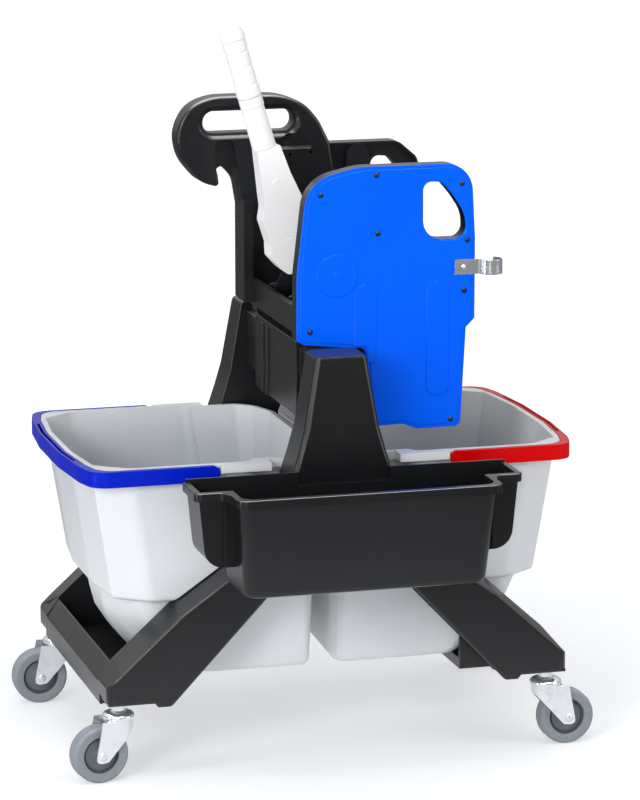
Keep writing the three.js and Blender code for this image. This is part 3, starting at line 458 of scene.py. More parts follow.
def metal(name, tone, dull, gloss, stretch, depth, share=0.5):
    """Plated or brushed steel: drawn lines along one direction and cloudy, slightly dulled patches."""
    graph = Graph(bpy.data.materials.new(name))
    lines = graph.noise(420, 3, 0.6, stretch)
    cloud = graph.noise(45, 3)
    dulled = cloud.above(0.5, 0.75)
    base = graph.blend(dulled * 0.5, tone, dull)
    rough = lines * 0.10 + dulled * 0.16 + gloss
    return graph.finish(base_color=base, roughness=rough, metallic=share,
                        normal=graph.bump(lines, depth, 0.6))


def rubber(name, tone, worn):
    """Grey moulded rubber, dusty where it runs on the floor."""
    graph = Graph(bpy.data.materials.new(name))
    cloud = graph.noise(40, 4)
    fine = graph.noise(1600, 2)
    scuffs = graph.noise(160, 4, 0.7)
    base = graph.blend(cloud.above(0.35, 0.7), tone, tuple(c * 0.85 for c in tone[:3]) + (1.0,))
    base = graph.blend(scuffs.above(0.55, 0.8) * 0.5, base, worn)
    rough = scuffs * 0.15 + fine * 0.06 + 0.52
    rise = graph.bump(scuffs, 0.0002, 0.5, graph.bump(fine, 0.00005))
    return graph.finish(base_color=base, roughness=rough, normal=rise)


# The fourth colour of each black is its dust, which also paints light on its upward faces.
BLACK = plastic("black_polypropylene", colour(19, 20, 22), 0.22, 1500, 0.00002, colour(40, 41, 44), shine=0.5)
FRAME_BLACK = plastic("black_wringer_plastic", colour(25, 26, 29), 0.20, 1900, 0.000015, colour(40, 42, 45), shine=0.5)
# The bucket's hollow tone is painted shade inside it and in its closed-in places.
BUCKET_GREY = plastic("bucket_grey", colour(226, 228, 231), 0.22, 1300, 0.00001, streaks=0.08, shine=0.45,
                      hollow=colour(190, 195, 201))
BLUE = plastic("wringer_blue", colour(0, 96, 251), 0.16, 1700, 0.000006, shine=0.08)
BAIL_BLUE = plastic("bail_blue_plastic", colour(0, 31, 191), 0.16, 1500, 0.000006, shine=0.15)
BAIL_RED = plastic("bail_red_plastic", colour(211, 0, 2), 0.16, 1500, 0.000006, shine=0.15)
WHITE = plastic("lever_white", colour(245, 245, 245), 0.34, 900, 0.00002)
HUB = plastic("hub_grey", colour(98, 103, 108), 0.42, 1400, 0.00004)
NYLON = plastic("roller_nylon", colour(226, 226, 218), 0.38, 1200, 0.00004)
ZINC = metal("zinc_plated_steel", colour(226, 228, 231), colour(200, 203, 208), 0.13, (1, 1, 1), 0.00002, 0.8)
BRIGHT = metal("bright_drawn_steel", colour(214, 216, 219), colour(178, 181, 186), 0.20, (1, 1, 14), 0.00002)
DARK_STEEL = metal("blackened_steel", colour(70, 72, 76), colour(48, 50, 54), 0.34, (1, 1, 1), 0.00002, 1.0)
TYRE = rubber("grey_rubber", colour(133, 139, 145), colour(165, 168, 171))


# -------- chassis

CASTER_X = 296
CASTER_Y = 191
HALF_LENGTH = 317
HALF_WIDTH = 221
LEG_BACK = 165
LEG_BEND = 217
BAR_INNER = HALF_LENGTH - 19
PAN_INNER = 181
PAN_RIM = 121
FOOT_Z = 107
FOOT_INNER = 253
SKIN = 4
TOWER_SHIFT = -3
TOWER_BACK = 180
TOWER_SIDE = 98
FRONT_EDGE = 4
FRONT_DROP = 8.5
STEM_BORE = 6.35


def leg_top(x):
    """The height of a leg's top beside the outer wall of a bucket: steep outside the bend, then gentler."""
    if x >= LEG_BEND:
        return 141 + 0.9 * (HALF_LENGTH - x)
    return 231 + 0.7 * (LEG_BEND - x)


def seam_of(side):
    """Where a half's end bar stops short of the other half's."""
    return -side * 30 - 0.15


def tower_ring(z, half, face, thin):
    return z, rounded([
        (TOWER_SHIFT - half + thin, thin - face, 8), (TOWER_SHIFT + half - thin, thin - face, 8),
        (TOWER_SHIFT + half - thin, -TOWER_BACK - thin, 3), (TOWER_SHIFT - half + thin, -TOWER_BACK - thin, 3),
    ], 6)


def tower(thin):
    """The tower that stands on the legs, comes forward behind the tray and falls back towards its top."""
    def face(z):
        return 243 - 10 * (z - 388) / 172
    levels = [
        (257 if thin else 282, TOWER_SIDE, 222), (315, TOWER_SIDE, 222), (388, TOWER_SIDE - 38 * 73 / 117, 243),
        (432, 60, face(432)), (464, 51, face(464)), (555 - thin, 35.5, face(555)),
        (558.5 - thin, 34, face(555) - 1.5), (560 - thin, 30.5, face(560) - 5),
    ]
    return skin("level", [tower_ring(z, half, front, thin) for z, half, front in levels])


def end_bar(side):
    """Half an end bar, and the hollow to be cut out of it."""
    edge = HALF_LENGTH - SKIN
    outer = [(BAR_INNER, 98), (HALF_LENGTH, 98, 3), (HALF_LENGTH, 128.5, 4), (BAR_INNER, leg_top(BAR_INNER), 2)]
    hollow = [
        (BAR_INNER + SKIN, 90), (edge, 90), (edge, 124.5), (BAR_INNER + SKIN, leg_top(BAR_INNER + SKIN) - 2 * SKIN),
    ]
    def flip(points):
        return [(side * p[0], p[1]) for p in points]
    seam = seam_of(side)
    return (prism("front", flip(rounded(outer, 5)), -LEG_BACK - 7, seam),
            prism("front", flip(rounded(hollow)), -LEG_BACK - 0.3, seam - SKIN))


def end_pan(side):
    """The pan between a leg and the seam: floor, upstand and web. The left one's corner beside the leg is cut off."""
    back, seam = -LEG_BACK, seam_of(side)
    pan = join(block(*span(side, PAN_INNER, BAR_INNER + SKIN), back - SKIN, seam, FOOT_Z, FOOT_Z + SKIN),
               block(*span(side, PAN_INNER, PAN_INNER + SKIN), back - SKIN, seam, FOOT_Z, PAN_RIM),
               prism("front", [(side * PAN_INNER, FOOT_Z), (side * BAR_INNER, FOOT_Z),
                               (side * PAN_INNER, FOOT_Z + 60)], back - SKIN, back))
    if side < 0:
        corner = [(-175, -112), (-175, -175), (-LEG_BEND, -175)]
        pan = cut(pan, prism("level", corner, FOOT_Z - 5, 200))
    return pan


def chassis_half():
    """Two legs with a tower and half of each end bar, hollowed from below."""
    front, back = -HALF_WIDTH, -LEG_BACK
    def outline(drop, thin=0):
        return rounded(inset(mirrored([
            (78, 262, 30), (230, 101, 8), (248, 101, 3), (FOOT_INNER, FOOT_Z, 3), (HALF_LENGTH, FOOT_Z, 8),
            (HALF_LENGTH, 131.5, 5), (BAR_INNER, leg_top(BAR_INNER) - drop, 6),
            (LEG_BEND, leg_top(LEG_BEND) - drop, 60), (TOWER_SIDE, leg_top(TOWER_SIDE) - drop),
        ]), thin))
    def hollow_outline(drop):
        edge = HALF_LENGTH - SKIN
        return rounded(mirrored([
            (edge, 77), (edge, 124.5), (BAR_INNER, leg_top(BAR_INNER) - drop - SKIN),
            (LEG_BEND, leg_top(LEG_BEND) - drop), (TOWER_SIDE, leg_top(TOWER_SIDE) - drop),
        ]))
    turns = [math.radians(22.5 * step) for step in range(5)]
    legs = skin("front", [(back, outline(0))] + [
        (front + FRONT_EDGE * (1 - math.sin(turn)), outline(FRONT_DROP, FRONT_EDGE * (1 - math.cos(turn))))
        for turn in turns])
    ends = rounded(mirrored([(HALF_LENGTH, front, 12), (HALF_LENGTH, back + 5)]), 10)
    legs = common(legs, prism("level", ends, 90, 400))
    bars = [end_bar(side) for side in (-1, 1)]
    body = soften(join(legs, tower(0), *(bar for bar, _ in bars)), 2.4, 4, 30)
    body = cut(body, skin("front", [(back - SKIN, hollow_outline(5.6)), (front + SKIN, hollow_outline(14.1))]),
               tower(SKIN), *(hollow for _, hollow in bars))
    bridge_ledge = block(-24, 24, -TOWER_BACK - 2, -TOWER_BACK + 14, 462, 469.7)
    extras = [bridge_ledge]
    for side in (-1, 1):
        tray_peg = block(*span(side, 96, 114), front - 40, front + 2, 262, 272.7)
        foot_floor = block(*span(side, FOOT_INNER, 315), front + 2, back - 2, FOOT_Z, FOOT_Z + SKIN)
        socket = prism("level", circle(side * CASTER_X, -CASTER_Y, 13), FOOT_Z, FOOT_Z + 34)
        extras += [end_pan(side), tray_peg, foot_floor, socket]
    bores = [prism("level", circle(side * CASTER_X, -CASTER_Y, STEM_BORE), FOOT_Z - 5, FOOT_Z + 30)
             for side in (-1, 1)]
    return soften(cut(join(body, *extras), *bores), 1.4, 3, 30)


def build_chassis():
    front = chassis_half()
    rear = duplicate(front, half_turn())
    present(front, "front_chassis_moulding", "chassis", BLACK, "black", "chassis_front_half")
    present(rear, "rear_chassis_moulding", "chassis", BLACK, "black", "chassis_rear_half")
    present_node("centre_bridge", 1.5, 3, "bridge_moulding", "chassis", BLACK, "black")


# -------- tray

TRAY_BACK = 243.3
TRAY_TOP = 408
TRAY_WALL = 3


def build_tray():
    """A tray with two ears beside the tower, an edge that turns out and down, and a notch for the tower."""
    back = TRAY_BACK
    plan = [
        (-220, -back, 3), (-220, -314, 10), (-185, -314, 5), (-177, -334, 8), (-177, -369, 14),
        (177, -369, 14), (177, -334, 8), (185, -314, 5), (220, -314, 10), (220, -back, 3),
    ]
    def form(thin):
        def box(z, half, front, rear):
            return z, rounded([(-half + thin, -front + thin, 18), (half - thin, -front + thin, 18),
                               (half - thin, -rear - thin, 4), (-half + thin, -rear - thin, 4)])
        top = TRAY_TOP + (5 if thin else 0)
        main = skin("level", [box(273 + thin, 158, 342, back + 7), box(275 + thin, 161.5, 346, back + 5),
                              box(281 + thin, 163, 348, back + 4), box(top, 172, 364, back)])
        ear = prism("front", rounded(mirrored([(205 - thin, 308 + thin, 26), (215 - thin, top)])),
                    -309 + thin, -back - thin)
        return join(main, ear)
    lip = skin("level", [(TRAY_TOP - drop, rounded(inset(plan, round_in))) for drop, round_in in (
        (11, 0), (2, 0), (0.8, 0.3), (0.2, 0.9), (0, 1.8))])
    under = cut(prism("level", rounded(inset(plan, 2.5)), 392, TRAY_TOP - 3), form(0))
    back_wall = block(-216, 216, -back - 3, -back, TRAY_TOP - 11, 412)
    ribs = [block(*span(side, 178.5, 182.5), -312.5, -300, 309, 398) for side in (-1, 1)]
    body = join(cut(lip, under), soften(form(0), 2.4, 4, 30), back_wall, *ribs)
    notch = block(TOWER_SHIFT - 62, TOWER_SHIFT + 62, -255, -238, 394, 413)
    body = soften(cut(body, form(TRAY_WALL), notch), 1.1, 3, 30)
    present(body, "tray_moulding", "tray", BLACK, "black", "utility_tray")


# -------- buckets and bails

RIM = 416
BUCKET_WALL = 3
BAIL_X = 168
PIN_Z = RIM - 10.5
RIM_NECK = (6, 0, 1, 171, 278, 288)
# The rounded shoulder over the legs: rise and how far the plan draws in.
SHOULDER = ((-10, 8), (0, 5.2), (0.8, 3.2), (2.4, 1.5), (4.6, 0.4), (7.4, 0))
# The neck from its foot upwards: share of its height, how far it draws in, and the end's corner and middle.
NECK = ((0, 7, 171, 219), (0.008, 3, 174.5, 225), (0.025, 0.8, 179, 234), (0.05, 0, 184, 243), (0.165, 0, 205, 262),
        (0.29, 0, 232, 277), (0.415, 0, 250, 283), (0.53, 0, 262, 285))


def end_plan(inner, half, end, round_off=8):
    """The bucket's outer end as its rim and its bail follow it."""
    return [
        (inner, -half, round_off), (end - 19, -half, 28), (end - 8, -half + 47, 40), (end, -60, 60),
        (end, 60, 60), (end - 8, half - 47, 40), (end - 19, half, 28), (inner, half, round_off),
    ]


def wall_plan(half, end):
    """The same end below the rim, where the corners are creased flats."""
    return [
        (end - 225, -half, 18), (end - 54, -half, 30), (end - 10, -half + 33, 3), (end, -60, 60),
        (end, 60, 60), (end - 10, half - 33, 3), (end - 54, half, 30), (end - 225, half, 18),
    ]


def neck_plan(inner, skew, chamfer, half, corner, middle):
    """The part between the towers: cut-off corners at the inner end, and an outer end bowed from corner to middle."""
    def inner_corner(side):
        return [(inner + side * skew + chamfer * along, side * (half - chamfer * across), radius)
                for along, across, radius in ((0, 62, 12), (15, 20, 12), (36, 0, 14))]
    def outer_corner(side):
        return [(corner, side * half, 30), (corner + 0.7 * (middle - corner), side * 0.62 * half, 60),
                (middle, side * 0.24 * half, 60)]
    return inner_corner(-1) + outer_corner(-1) + outer_corner(1)[::-1] + inner_corner(1)[::-1]


def bucket_form(thin):
    """The outer form, or with a wall's thickness the inner one: a wide part over the legs and the neck."""
    top = RIM + (5 if thin else 0)
    base = leg_top(LEG_BEND) + 0.3
    def wide_ring(z, round_in):
        share = (z - base + 10) / (top - base + 10)
        return z, rounded(inset(wall_plan(176 + 9 * share, 300 + 31 * share), thin + round_in), 6)
    wide = skin("level", [wide_ring(base + rise, round_in) for rise, round_in in SHOULDER] + [wide_ring(top, 0)])
    floor = base + thin * 1.22
    above_legs = prism("front", rounded([
        (74, floor + 0.7 * 143), (LEG_BEND, floor, 20), (336, floor), (336, 426), (74, 426)]), -HALF_WIDTH, HALF_WIDTH)
    foot, legs_z = 124, leg_top(TOWER_SIDE) + 3
    rings = [(foot + share * (legs_z - foot) + thin, neck_plan(
        16 + round_in - 9 * share, 6 * (1 - share), 0.25 + 0.4 * share, 155 - round_in + share * 8.5, corner, middle))
        for share, round_in, corner, middle in NECK]
    rings += [(legs_z, neck_plan(8, 0, 0.7, 163.5, 268, 288)), (top, neck_plan(*RIM_NECK))]
    neck = skin("level", [(z, rounded(inset(plan, thin), 6)) for z, plan in rings])
    return join(common(wide, above_legs), neck)


def bucket():
    """The right bucket: its form, the rim's flange and lip, and ledges with pins at their ends for the bail."""
    flange = prism("level", rounded(end_plan(94, 190, 334), 6), RIM - 4, RIM)
    neck_lip = prism("level", rounded(inset(neck_plan(*RIM_NECK), -3), 6), RIM - 12, RIM)
    ledge = block(88, 156.5, -197, 197, RIM - 11, RIM)
    under = block(91, 153.5, -194, 194, RIM - 16, RIM - 4)
    pins = prism("front", circle(BAIL_X, PIN_Z, 4), -194, 194)
    outside = join(flange, neck_lip, cut(ledge, under), pins, bucket_form(0))
    return soften(cut(outside, bucket_form(BUCKET_WALL)), 1.0, 3, 30)


def bail():
    """The right bucket's bail: a slotted band round the end, with an eye at either end."""
    near, far = 190.7, 198.5
    def band(half, end, overrun):
        return prism("level", rounded(end_plan(BAIL_X - overrun, half, end, 0)), 395 - overrun, RIM + overrun)
    slot = cut(band(far, 342, 5), band(far, 338.1, 5))
    slot = common(slot, block(310, 345, -118, 118, 390, 421))
    hoop = cut(band(far, 345, 0), band(near, 334.7, 15), slot)
    for side in (-1, 1):
        hoop = join(hoop, prism("front", circle(BAIL_X, PIN_Z, 10.5, 48), *span(side, near, far)))
    return soften(cut(hoop, prism("front", circle(BAIL_X, PIN_Z, 4.35), -194.5, 194.5)), 1.2, 3, 30)


def build_buckets():
    """The left bucket and bail are the right ones turned half round."""
    right = bucket()
    left = duplicate(right, half_turn())
    for side, piece in (("right", right), ("left", left)):
        present(piece, f"{side}_bucket_moulding", f"{side}_bucket_body", BUCKET_GREY, "bucket", f"{side}_bucket")
    right = bail()
    left = duplicate(right, half_turn())
    present(right, "red_bail", "right_bail_body", BAIL_RED, "bail_red", "right_bail")
    present(left, "blue_bail", "left_bail_body", BAIL_BLUE, "bail_blue", "left_bail")


# -------- wringer frame

PIVOT = (17.4, 648)
BASKET = [(70, 549, 8), (75, 442, 6), (110, 443, 20), (128, 435.5, 20), (190, 435.5, 10), (197, 570, 3),
          (209, 582, 3)]
FRONT_SIDE = [(57, 549.5, 8), (67, 442, 6)] + BASKET[2:] + [(209, 690, 100), (203.5, 791, 38), (48, 791.3, 120),
                                                          (-22.3, 775, 56), (-36.8, 650, 150), (-37, 562, 6),
                                                          (-26, 557), (39, 549.5)]
REAR_SIDE = BASKET + [(209, 746, 10), (203, 765, 12), (176, 788, 24), (-50.5, 788, 6), (-50.5, 576, 3),
                      (-26, 574), (-26, 557), (39, 549.5)]
HANDLE = [
    (78, 789, 8), (62, 821, 60), (42, 845, 60), (6, 858.6, 90), (-91, 858.6, 90), (-123, 846, 60),
    (-141.6, 811, 60), (-134.8, 774, 60), (-107, 741, 60), (-79, 733, 5), (-82, 757, 6), (-74, 762, 6),
    (-57, 745, 30), (-50.5, 707, 30), (-50.5, 690), (88, 690), (84, 750, 30),
]
HANDLE_SLOT = [(-100.5, 808, 14.4), (27, 808, 14.4), (27, 837, 14.4), (-100.5, 837, 14.4)]
HAND_HOLE = [(136.8, 690.6, 26), (195.4, 690.2, 17), (196, 722, 60), (178.8, 747.8, 80), (162.6, 767, 15),
             (136.4, 769, 18)]
LONG_PADS = [
    [(59, 528), (72, 528), (72, 635, 15.4), (41, 635, 15.4), (41, 551), (59, 551)],
    [(141, 479, 15.4), (173, 479, 15.4), (173, 635, 15.4), (141, 635, 15.4)],
]
COVER_SCREWS = [(-4.5, 756), (72, 780), (74, 702), (190, 764), (198, 688), (194, 620), (-19, 574), (176, 446)]
CLIP_Z = 652
# Depths of the two sides, the same in front of the middle and behind it.
SIDE_NEAR = 112
SPLIT = 124.5
SHELL_FAR = 132.7
COVER_NEAR = 133
COVER_FAR = 137
SHELL_WALL = 3
SHAFT_BORE = 8.35
COVER_BORE = 6.85


def stack(*levels):
    """A skin over (depth, outline) levels whose outlines are still corner lists."""
    return skin("front", [(depth, rounded(corners, 12)) for depth, corners in levels])


def drawn(corners, near, far, steps=12):
    return prism("front", rounded(corners, steps), near, far)


def pivot_bore(radius, near, far):
    return prism("front", circle(*PIVOT, radius, 40), near, far)


def inside_ribs(near, far):
    """What stiffens a side: guides of the press plate, the hand hole's wall, the shaft's boss and the jaw's seats."""
    low, high = sorted((near, far))
    ribs = [block(76, 182, low, high, *sorted((level + side * 6.4, level + side * 9.4)))
            for level in (500, 628) for side in (-1, 1)]
    parts = [
        prism("front", rounded(inset(HAND_HOLE, -3)), low, high), prism("front", circle(*PIVOT, 14), low, high),
        block(183, 190, low, high, 437.5, 656),
    ] + [block(x, x + 3, low, high, 552, 600) for x in (30, 110)]
    return ribs + parts


def build_front_side():
    """A cover with a sunken border, three raised pads, screws and a cap; behind it the hollow shell."""
    cover = skin("front", [(-depth, rounded(inset(FRONT_SIDE, round_in), 20)) for depth, round_in in (
        (COVER_NEAR, 0), (135.4, 0), (136, 0.6), (136.1, 4.2), (COVER_FAR, 5.2))])
    pads = [stack((-134, pad), (-COVER_FAR, pad), (-138.4, inset(pad, 1.2))) for pad in LONG_PADS]
    pads.append(skin("front", [(-depth, circle(*PIVOT, radius, 96))
                               for depth, radius in ((134, 28.9), (COVER_FAR, 28.9), (138.4, 27.7))]))
    wells = [prism("front", circle(x, z, 4, 20), -142, -135) for x, z in COVER_SCREWS]
    hole = stack((-128, HAND_HOLE), (-135.4, HAND_HOLE), (-137.1, inset(HAND_HOLE, -2.2)),
                 (-142, inset(HAND_HOLE, -2.4)))
    cover = cut(join(cover, *pads), hole, pivot_bore(COVER_BORE, -142, -128), *wells)
    present(soften(cover, 0.25, 2, 25), "blue_cover", "wringer", BLUE, "blue", "wringer_front_cover")
    cap = turned([(0, 1.1), (1.4, 1.2), (1.8, 1.7), (2.4, 1.8), (4.4, 1.6), (6.4, 1.0), (7, 0.1), (7, -0.1), (0, -0.1)],
                 place(PIVOT[0], -138.3, PIVOT[1]), (0, -1, 0), 48)
    present(soften(cap, 0.1, 1), "pivot_cap", "lever", BLUE, "blue")

    screw = turned([(0, 0.6), (1.9, 0.6), (2.9, 0), (3.4, -0.9), (3.4, -1.9), (0, -1.9)], place(0, 0, 0),
                   (0, -1, 0), 20)
    screw = cut(screw, block(-2.2, 2.2, -1, 0.2, -0.4, 0.4), block(-0.4, 0.4, -1, 0.2, -2.2, 2.2))
    soften(screw, 0.12, 1)
    for number, (x, z) in enumerate(COVER_SCREWS):
        copy = duplicate(screw, Matrix.Translation(Vector((x * MM, -136.95 * MM, z * MM))))
        present(copy, f"cover_screw_{number + 1}", "wringer", DARK_STEEL, "bright_steel")
    bpy.data.objects.remove(screw)

    shell = drawn(FRONT_SIDE, -SHELL_FAR, -SIDE_NEAR, 20)
    shell = cut(shell, drawn(inset(FRONT_SIDE, SHELL_WALL), -129.7, -107, 20))
    shell = join(shell, block(-24, 24, -SHELL_FAR, -SIDE_NEAR, 547, 562), *inside_ribs(-131.2, -SIDE_NEAR))
    shell = cut(shell, drawn(HAND_HOLE, -138, -107), pivot_bore(SHAFT_BORE, -138, -107))
    present(soften(shell, 0.7, 2), "front_side_moulding", "wringer", FRAME_BLACK, "black", "wringer_front_shell")


def rear_outline(near, far):
    return join(drawn(REAR_SIDE, near, far), drawn(HANDLE, near, far))


def build_rear_side():
    """Two shells back to back; the inner one's handle is thicker and dished round its slot."""
    hollow = drawn(inset(REAR_SIDE, SHELL_WALL), 107, SPLIT - SHELL_WALL)
    grip = stack((106, inset(HANDLE, 5)), (106.5, inset(HANDLE, 3)), (107.8, inset(HANDLE, 1.4)),
                 (109.6, inset(HANDLE, 0.4)), (111.6, HANDLE), (SPLIT, HANDLE))
    rim = stack((100, inset(HANDLE_SLOT, -9.5)), (106.2, inset(HANDLE_SLOT, -8.5)), (108, inset(HANDLE_SLOT, -5)),
                (113, inset(HANDLE_SLOT, -1)), (119, HANDLE_SLOT), (121, HANDLE_SLOT))
    throat = drawn([(-82.5, 752, 2), (-57, 745), (-53, 756, 8), (-60, 799, 10), (-86, 799, 11), (-86, 765, 6)],
                   101, 120, 8)
    pilots = [prism("front", circle(x, z, 2.3, 20), 101, 118) for x, z in ((19.9, 775.5), (50, 777.7))]
    rib = drawn([(102, 600), (135, 600), (135, 786, 16), (102, 786, 16)], 110.4, 114, 10)
    post = block(-50.5, -37.3, 87, SPLIT, 576, 716)
    post_hollow = block(-47.5, -40.3, 90, SPLIT + 5, 579, 713)
    mouth = rounded([(-8, 782.5, 2), (19, 809, 8), (57, 782.5, 3)], 6)
    pocket = skin("front", [(101, mouth), (106.5, mouth),
                            (111, rounded([(2, 786, 2), (19, 803, 5), (40, 786, 3)], 6))])
    foot = block(-24, 24, SIDE_NEAR, SPLIT, 547, 562)
    inner = join(cut(rear_outline(SIDE_NEAR, SPLIT), hollow), grip, foot, post, rib,
                 *inside_ribs(SIDE_NEAR, SPLIT - 1.5))
    inner = cut(inner, rim, throat, *pilots, post_hollow, pocket, drawn(HAND_HOLE, 101, SPLIT + 5),
                drawn(HANDLE_SLOT, 101, SPLIT + 5), pivot_bore(SHAFT_BORE, 107, SPLIT + 5))
    present(soften(inner, 0.9, 3, 32), "rear_side_inner_moulding", "wringer", FRAME_BLACK, "black",
            "wringer_rear_inner_shell")
    near, far = SPLIT + 0.3, COVER_FAR
    hollow = drawn(inset(REAR_SIDE, SHELL_WALL), near - 5, far - SHELL_WALL)
    back = join(cut(rear_outline(near, far), hollow), drawn(inset(HAND_HOLE, -3), near, far))
    back = cut(back, drawn(HAND_HOLE, near - 5, far + 5), drawn(HANDLE_SLOT, near - 5, far + 5))
    present(soften(back, 2.0, 4, 30), "rear_side_outer_moulding", "wringer", FRAME_BLACK, "black",
            "wringer_rear_outer_shell")
    present_node("wringer_tie_bar", 0.8, 3, "tie_bar_moulding", "wringer", FRAME_BLACK, "black")


def build_clip():
    """The clip is one strip of steel, bent most of the way round a pole and held by a rivet."""
    thickness, centre, radius = 1.5, 230, 15.25
    middle = -COVER_FAR - 0.3 - thickness / 2
    path = [Vector((180, middle)), Vector((centre - radius - 8, middle)), Vector((centre - radius - 3, middle))]
    for i in range(49):
        angle = math.pi * (1 + i / 36)
        path.append(Vector((centre + radius * math.cos(angle), middle + radius * math.sin(angle))))
    sides = [[], []]
    for i, point in enumerate(path):
        arriving = (point - path[max(i - 1, 0)]).normalized()
        leaving = (path[min(i + 1, len(path) - 1)] - point).normalized()
        along = (arriving + leaving).normalized()
        for side, sign in enumerate((1, -1)):
            sides[side].append(point + Vector((along.y, -along.x)) * sign * thickness / 2)
    strip = prism("level", sides[0] + sides[1][::-1], CLIP_Z - 10, CLIP_Z + 10)
    rivet = turned([(0, 1.6), (1.6, 1.4), (2.6, 0.7), (3.0, -0.2), (0, -0.2)], place(192, -138.8, CLIP_Z),
                   (0, -1, 0), 24)
    present(soften(join(strip, rivet), 0.35, 2, 40), "steel_clip", "wringer", ZINC, "steel", "pole_clip")


def build_press():
    for node in ("fixed_jaw", "basket_floor"):
        present_node(node, 0.7, 2, f"{node}_plate", "wringer", FRAME_BLACK, "black")
    present_node("press_plate", 0.7, 2, "moving_jaw", "press", FRAME_BLACK, "black")


# -------- lever

LEAN = math.radians(-16.2)
CRANK_ANGLE = math.radians(240)
CRANK_REACH = 60
STICK_X = -16.5
GRIP_LOW = 239.6
GRIP_HIGH = 316.2


def lean(piece):
    """Turns a piece drawn upright on the pivot to the lever's place at rest."""
    pivot = Matrix.Translation(place(PIVOT[0], 0, PIVOT[1]))
    upright = Matrix.Translation(-place(0, 0, 0))
    piece.data.transform(pivot @ Matrix.Rotation(LEAN, 4, "Y") @ upright)
    return piece


def stick(profile, name, node):
    """A round part of the lever, on the axis of its tube."""
    piece = turned(profile, place(STICK_X, 0, 0), (0, 0, 1), 64)
    present(lean(soften(piece, 0.25, 2)), name, "lever", WHITE, "white", node)


def build_lever():
    """Casting, tube, ringed grip and cap, drawn upright on the pivot and then leant; shaft, rollers and spring."""
    outline = [
        (28, -28, 27), (28, 22, 30), (13, 76, 40), (5, 125, 30), (2.2, 165, 2), (-30.6, 165, 2), (-35.5, 132, 20),
        (-42.5, 88, 8), (-50, 72, 10), (-49, 40, 6), (-53.5, 22, 8), (-44, 3, 6), (-37, -7, 6), (-22, -9, 8),
        (-21, -28, 14),
    ]
    casting = prism("front", rounded(outline, 8), -18, 18)
    casting = common(casting, prism("side", [(-18, -60), (18, -60), (18, 118), (14.5, 166), (-14.5, 166), (-18, 118)],
                                    -80, 60))
    casting = cut(casting, prism("front", circle(0, 0, 8.3, 40), -25, 25))
    soften(casting, 3.4, 5, 25)
    button = soften(prism("front", circle(STICK_X, 117.6, 5.2, 40), -18.7, -12), 0.3, 2)
    for side in (-1, 1):
        casting = cut(casting, block(-70, 50, *span(side, 17.2, 30), 39.4, 40.6))
    smooth(join(casting, button))
    present(lean(casting), "lever_paddle", "lever", WHITE, "white", "lever_casting")

    stick([(0, 165.3), (16.1, 165.3), (16.3, 165.8), (15.5, 219.6), (15.1, 221), (15.1, 222), (16, 223.4),
           (16.2, 225), (16.2, 234.6), (15.7, 236.2), (14.4, 236.7), (0, 236.7)], "lever_tube", "lever_neck")
    profile = [(0, 237), (15.2, 237), (16, 237.6), (16.2, 239)]
    steps = 120
    for i in range(steps + 1):
        s = GRIP_LOW + (GRIP_HIGH - GRIP_LOW) * i / steps
        waist = 16.2 - 0.5 * math.sin(math.pi * (s - 237) / 80) + (0.6 if s < 253 else 0)
        groove = sum(math.exp(-((s - g) / 1.1) ** 2) for g in (254, 279, 300))
        profile.append((waist - 1.3 * groove, s))
    profile += [(15.6, 316.7), (0, 316.7)]
    stick(profile, "lever_hand_grip", "lever_grip")
    profile = [(0, 317), (16.8, 317), (17.3, 317.6), (17.3, 321.5)]
    for i in range(1, 17):
        angle = math.pi / 2 * i / 16
        profile.append((17.3 * math.cos(angle), 321.5 + 16.9 * math.sin(angle)))
    stick(profile, "lever_end_cap", "lever_cap")

    present_node("lever_shaft", 0.4, 2, "crank_shaft", "lever", DARK_STEEL, "steel")
    x, z = PIVOT[0] + CRANK_REACH * math.cos(CRANK_ANGLE), PIVOT[1] + CRANK_REACH * math.sin(CRANK_ANGLE)
    for side, end in ((-1, "front"), (1, "rear")):
        roller = turned([(4.35, -3.7), (6.4, -3.7), (7, -3.1), (7, 3.1), (6.4, 3.7), (4.35, 3.7)],
                        place(x, side * 50, z), (0, 1, 0), 40)
        present(soften(roller, 0.2, 2), f"{end}_roller", "lever", NYLON, "nylon", f"crank_roller_{end}")
    spring()


def spring():
    """Four turns of wire round the shaft, screwed up from one round section."""
    start, end, turns = 19.6, 36.7, 4
    coil, wire_radius = 11.5, 1.3
    wire = ring([Vector(((coil + wire_radius * math.cos(a)) * MM, 0, wire_radius * MM * math.sin(a)))
                 for a in (2 * math.pi * k / 12 for k in range(12))])
    apply(wire, "SCREW", angle=2 * math.pi, steps=32, render_steps=32, iterations=turns,
          screw_offset=(end - start) / turns * MM, axis="Z")
    close_ends(wire)
    wire.data.transform(Matrix.Translation(place(PIVOT[0], start, PIVOT[1])) @ Matrix.Rotation(-math.pi / 2, 4, "X"))
    shade(face_out(wire))
    present(wire, "lever_spring", "lever", BRIGHT, "steel", "return_spring")


# -------- casters

TRAIL = 28
RADIUS = 38
CROWN = 84
HEAD = 80
PIN_BORE = 4.35


def fork_plan(end, thin):
    """The fork's crown from above: a half circle in front and straight sides back to `end`."""
    half = 19 - thin
    front = [(half * math.cos(a), half * math.sin(a)) for a in (math.pi * (i - 16) / 32 for i in range(33))]
    return [(end, -half)] + front + [(end, half)]


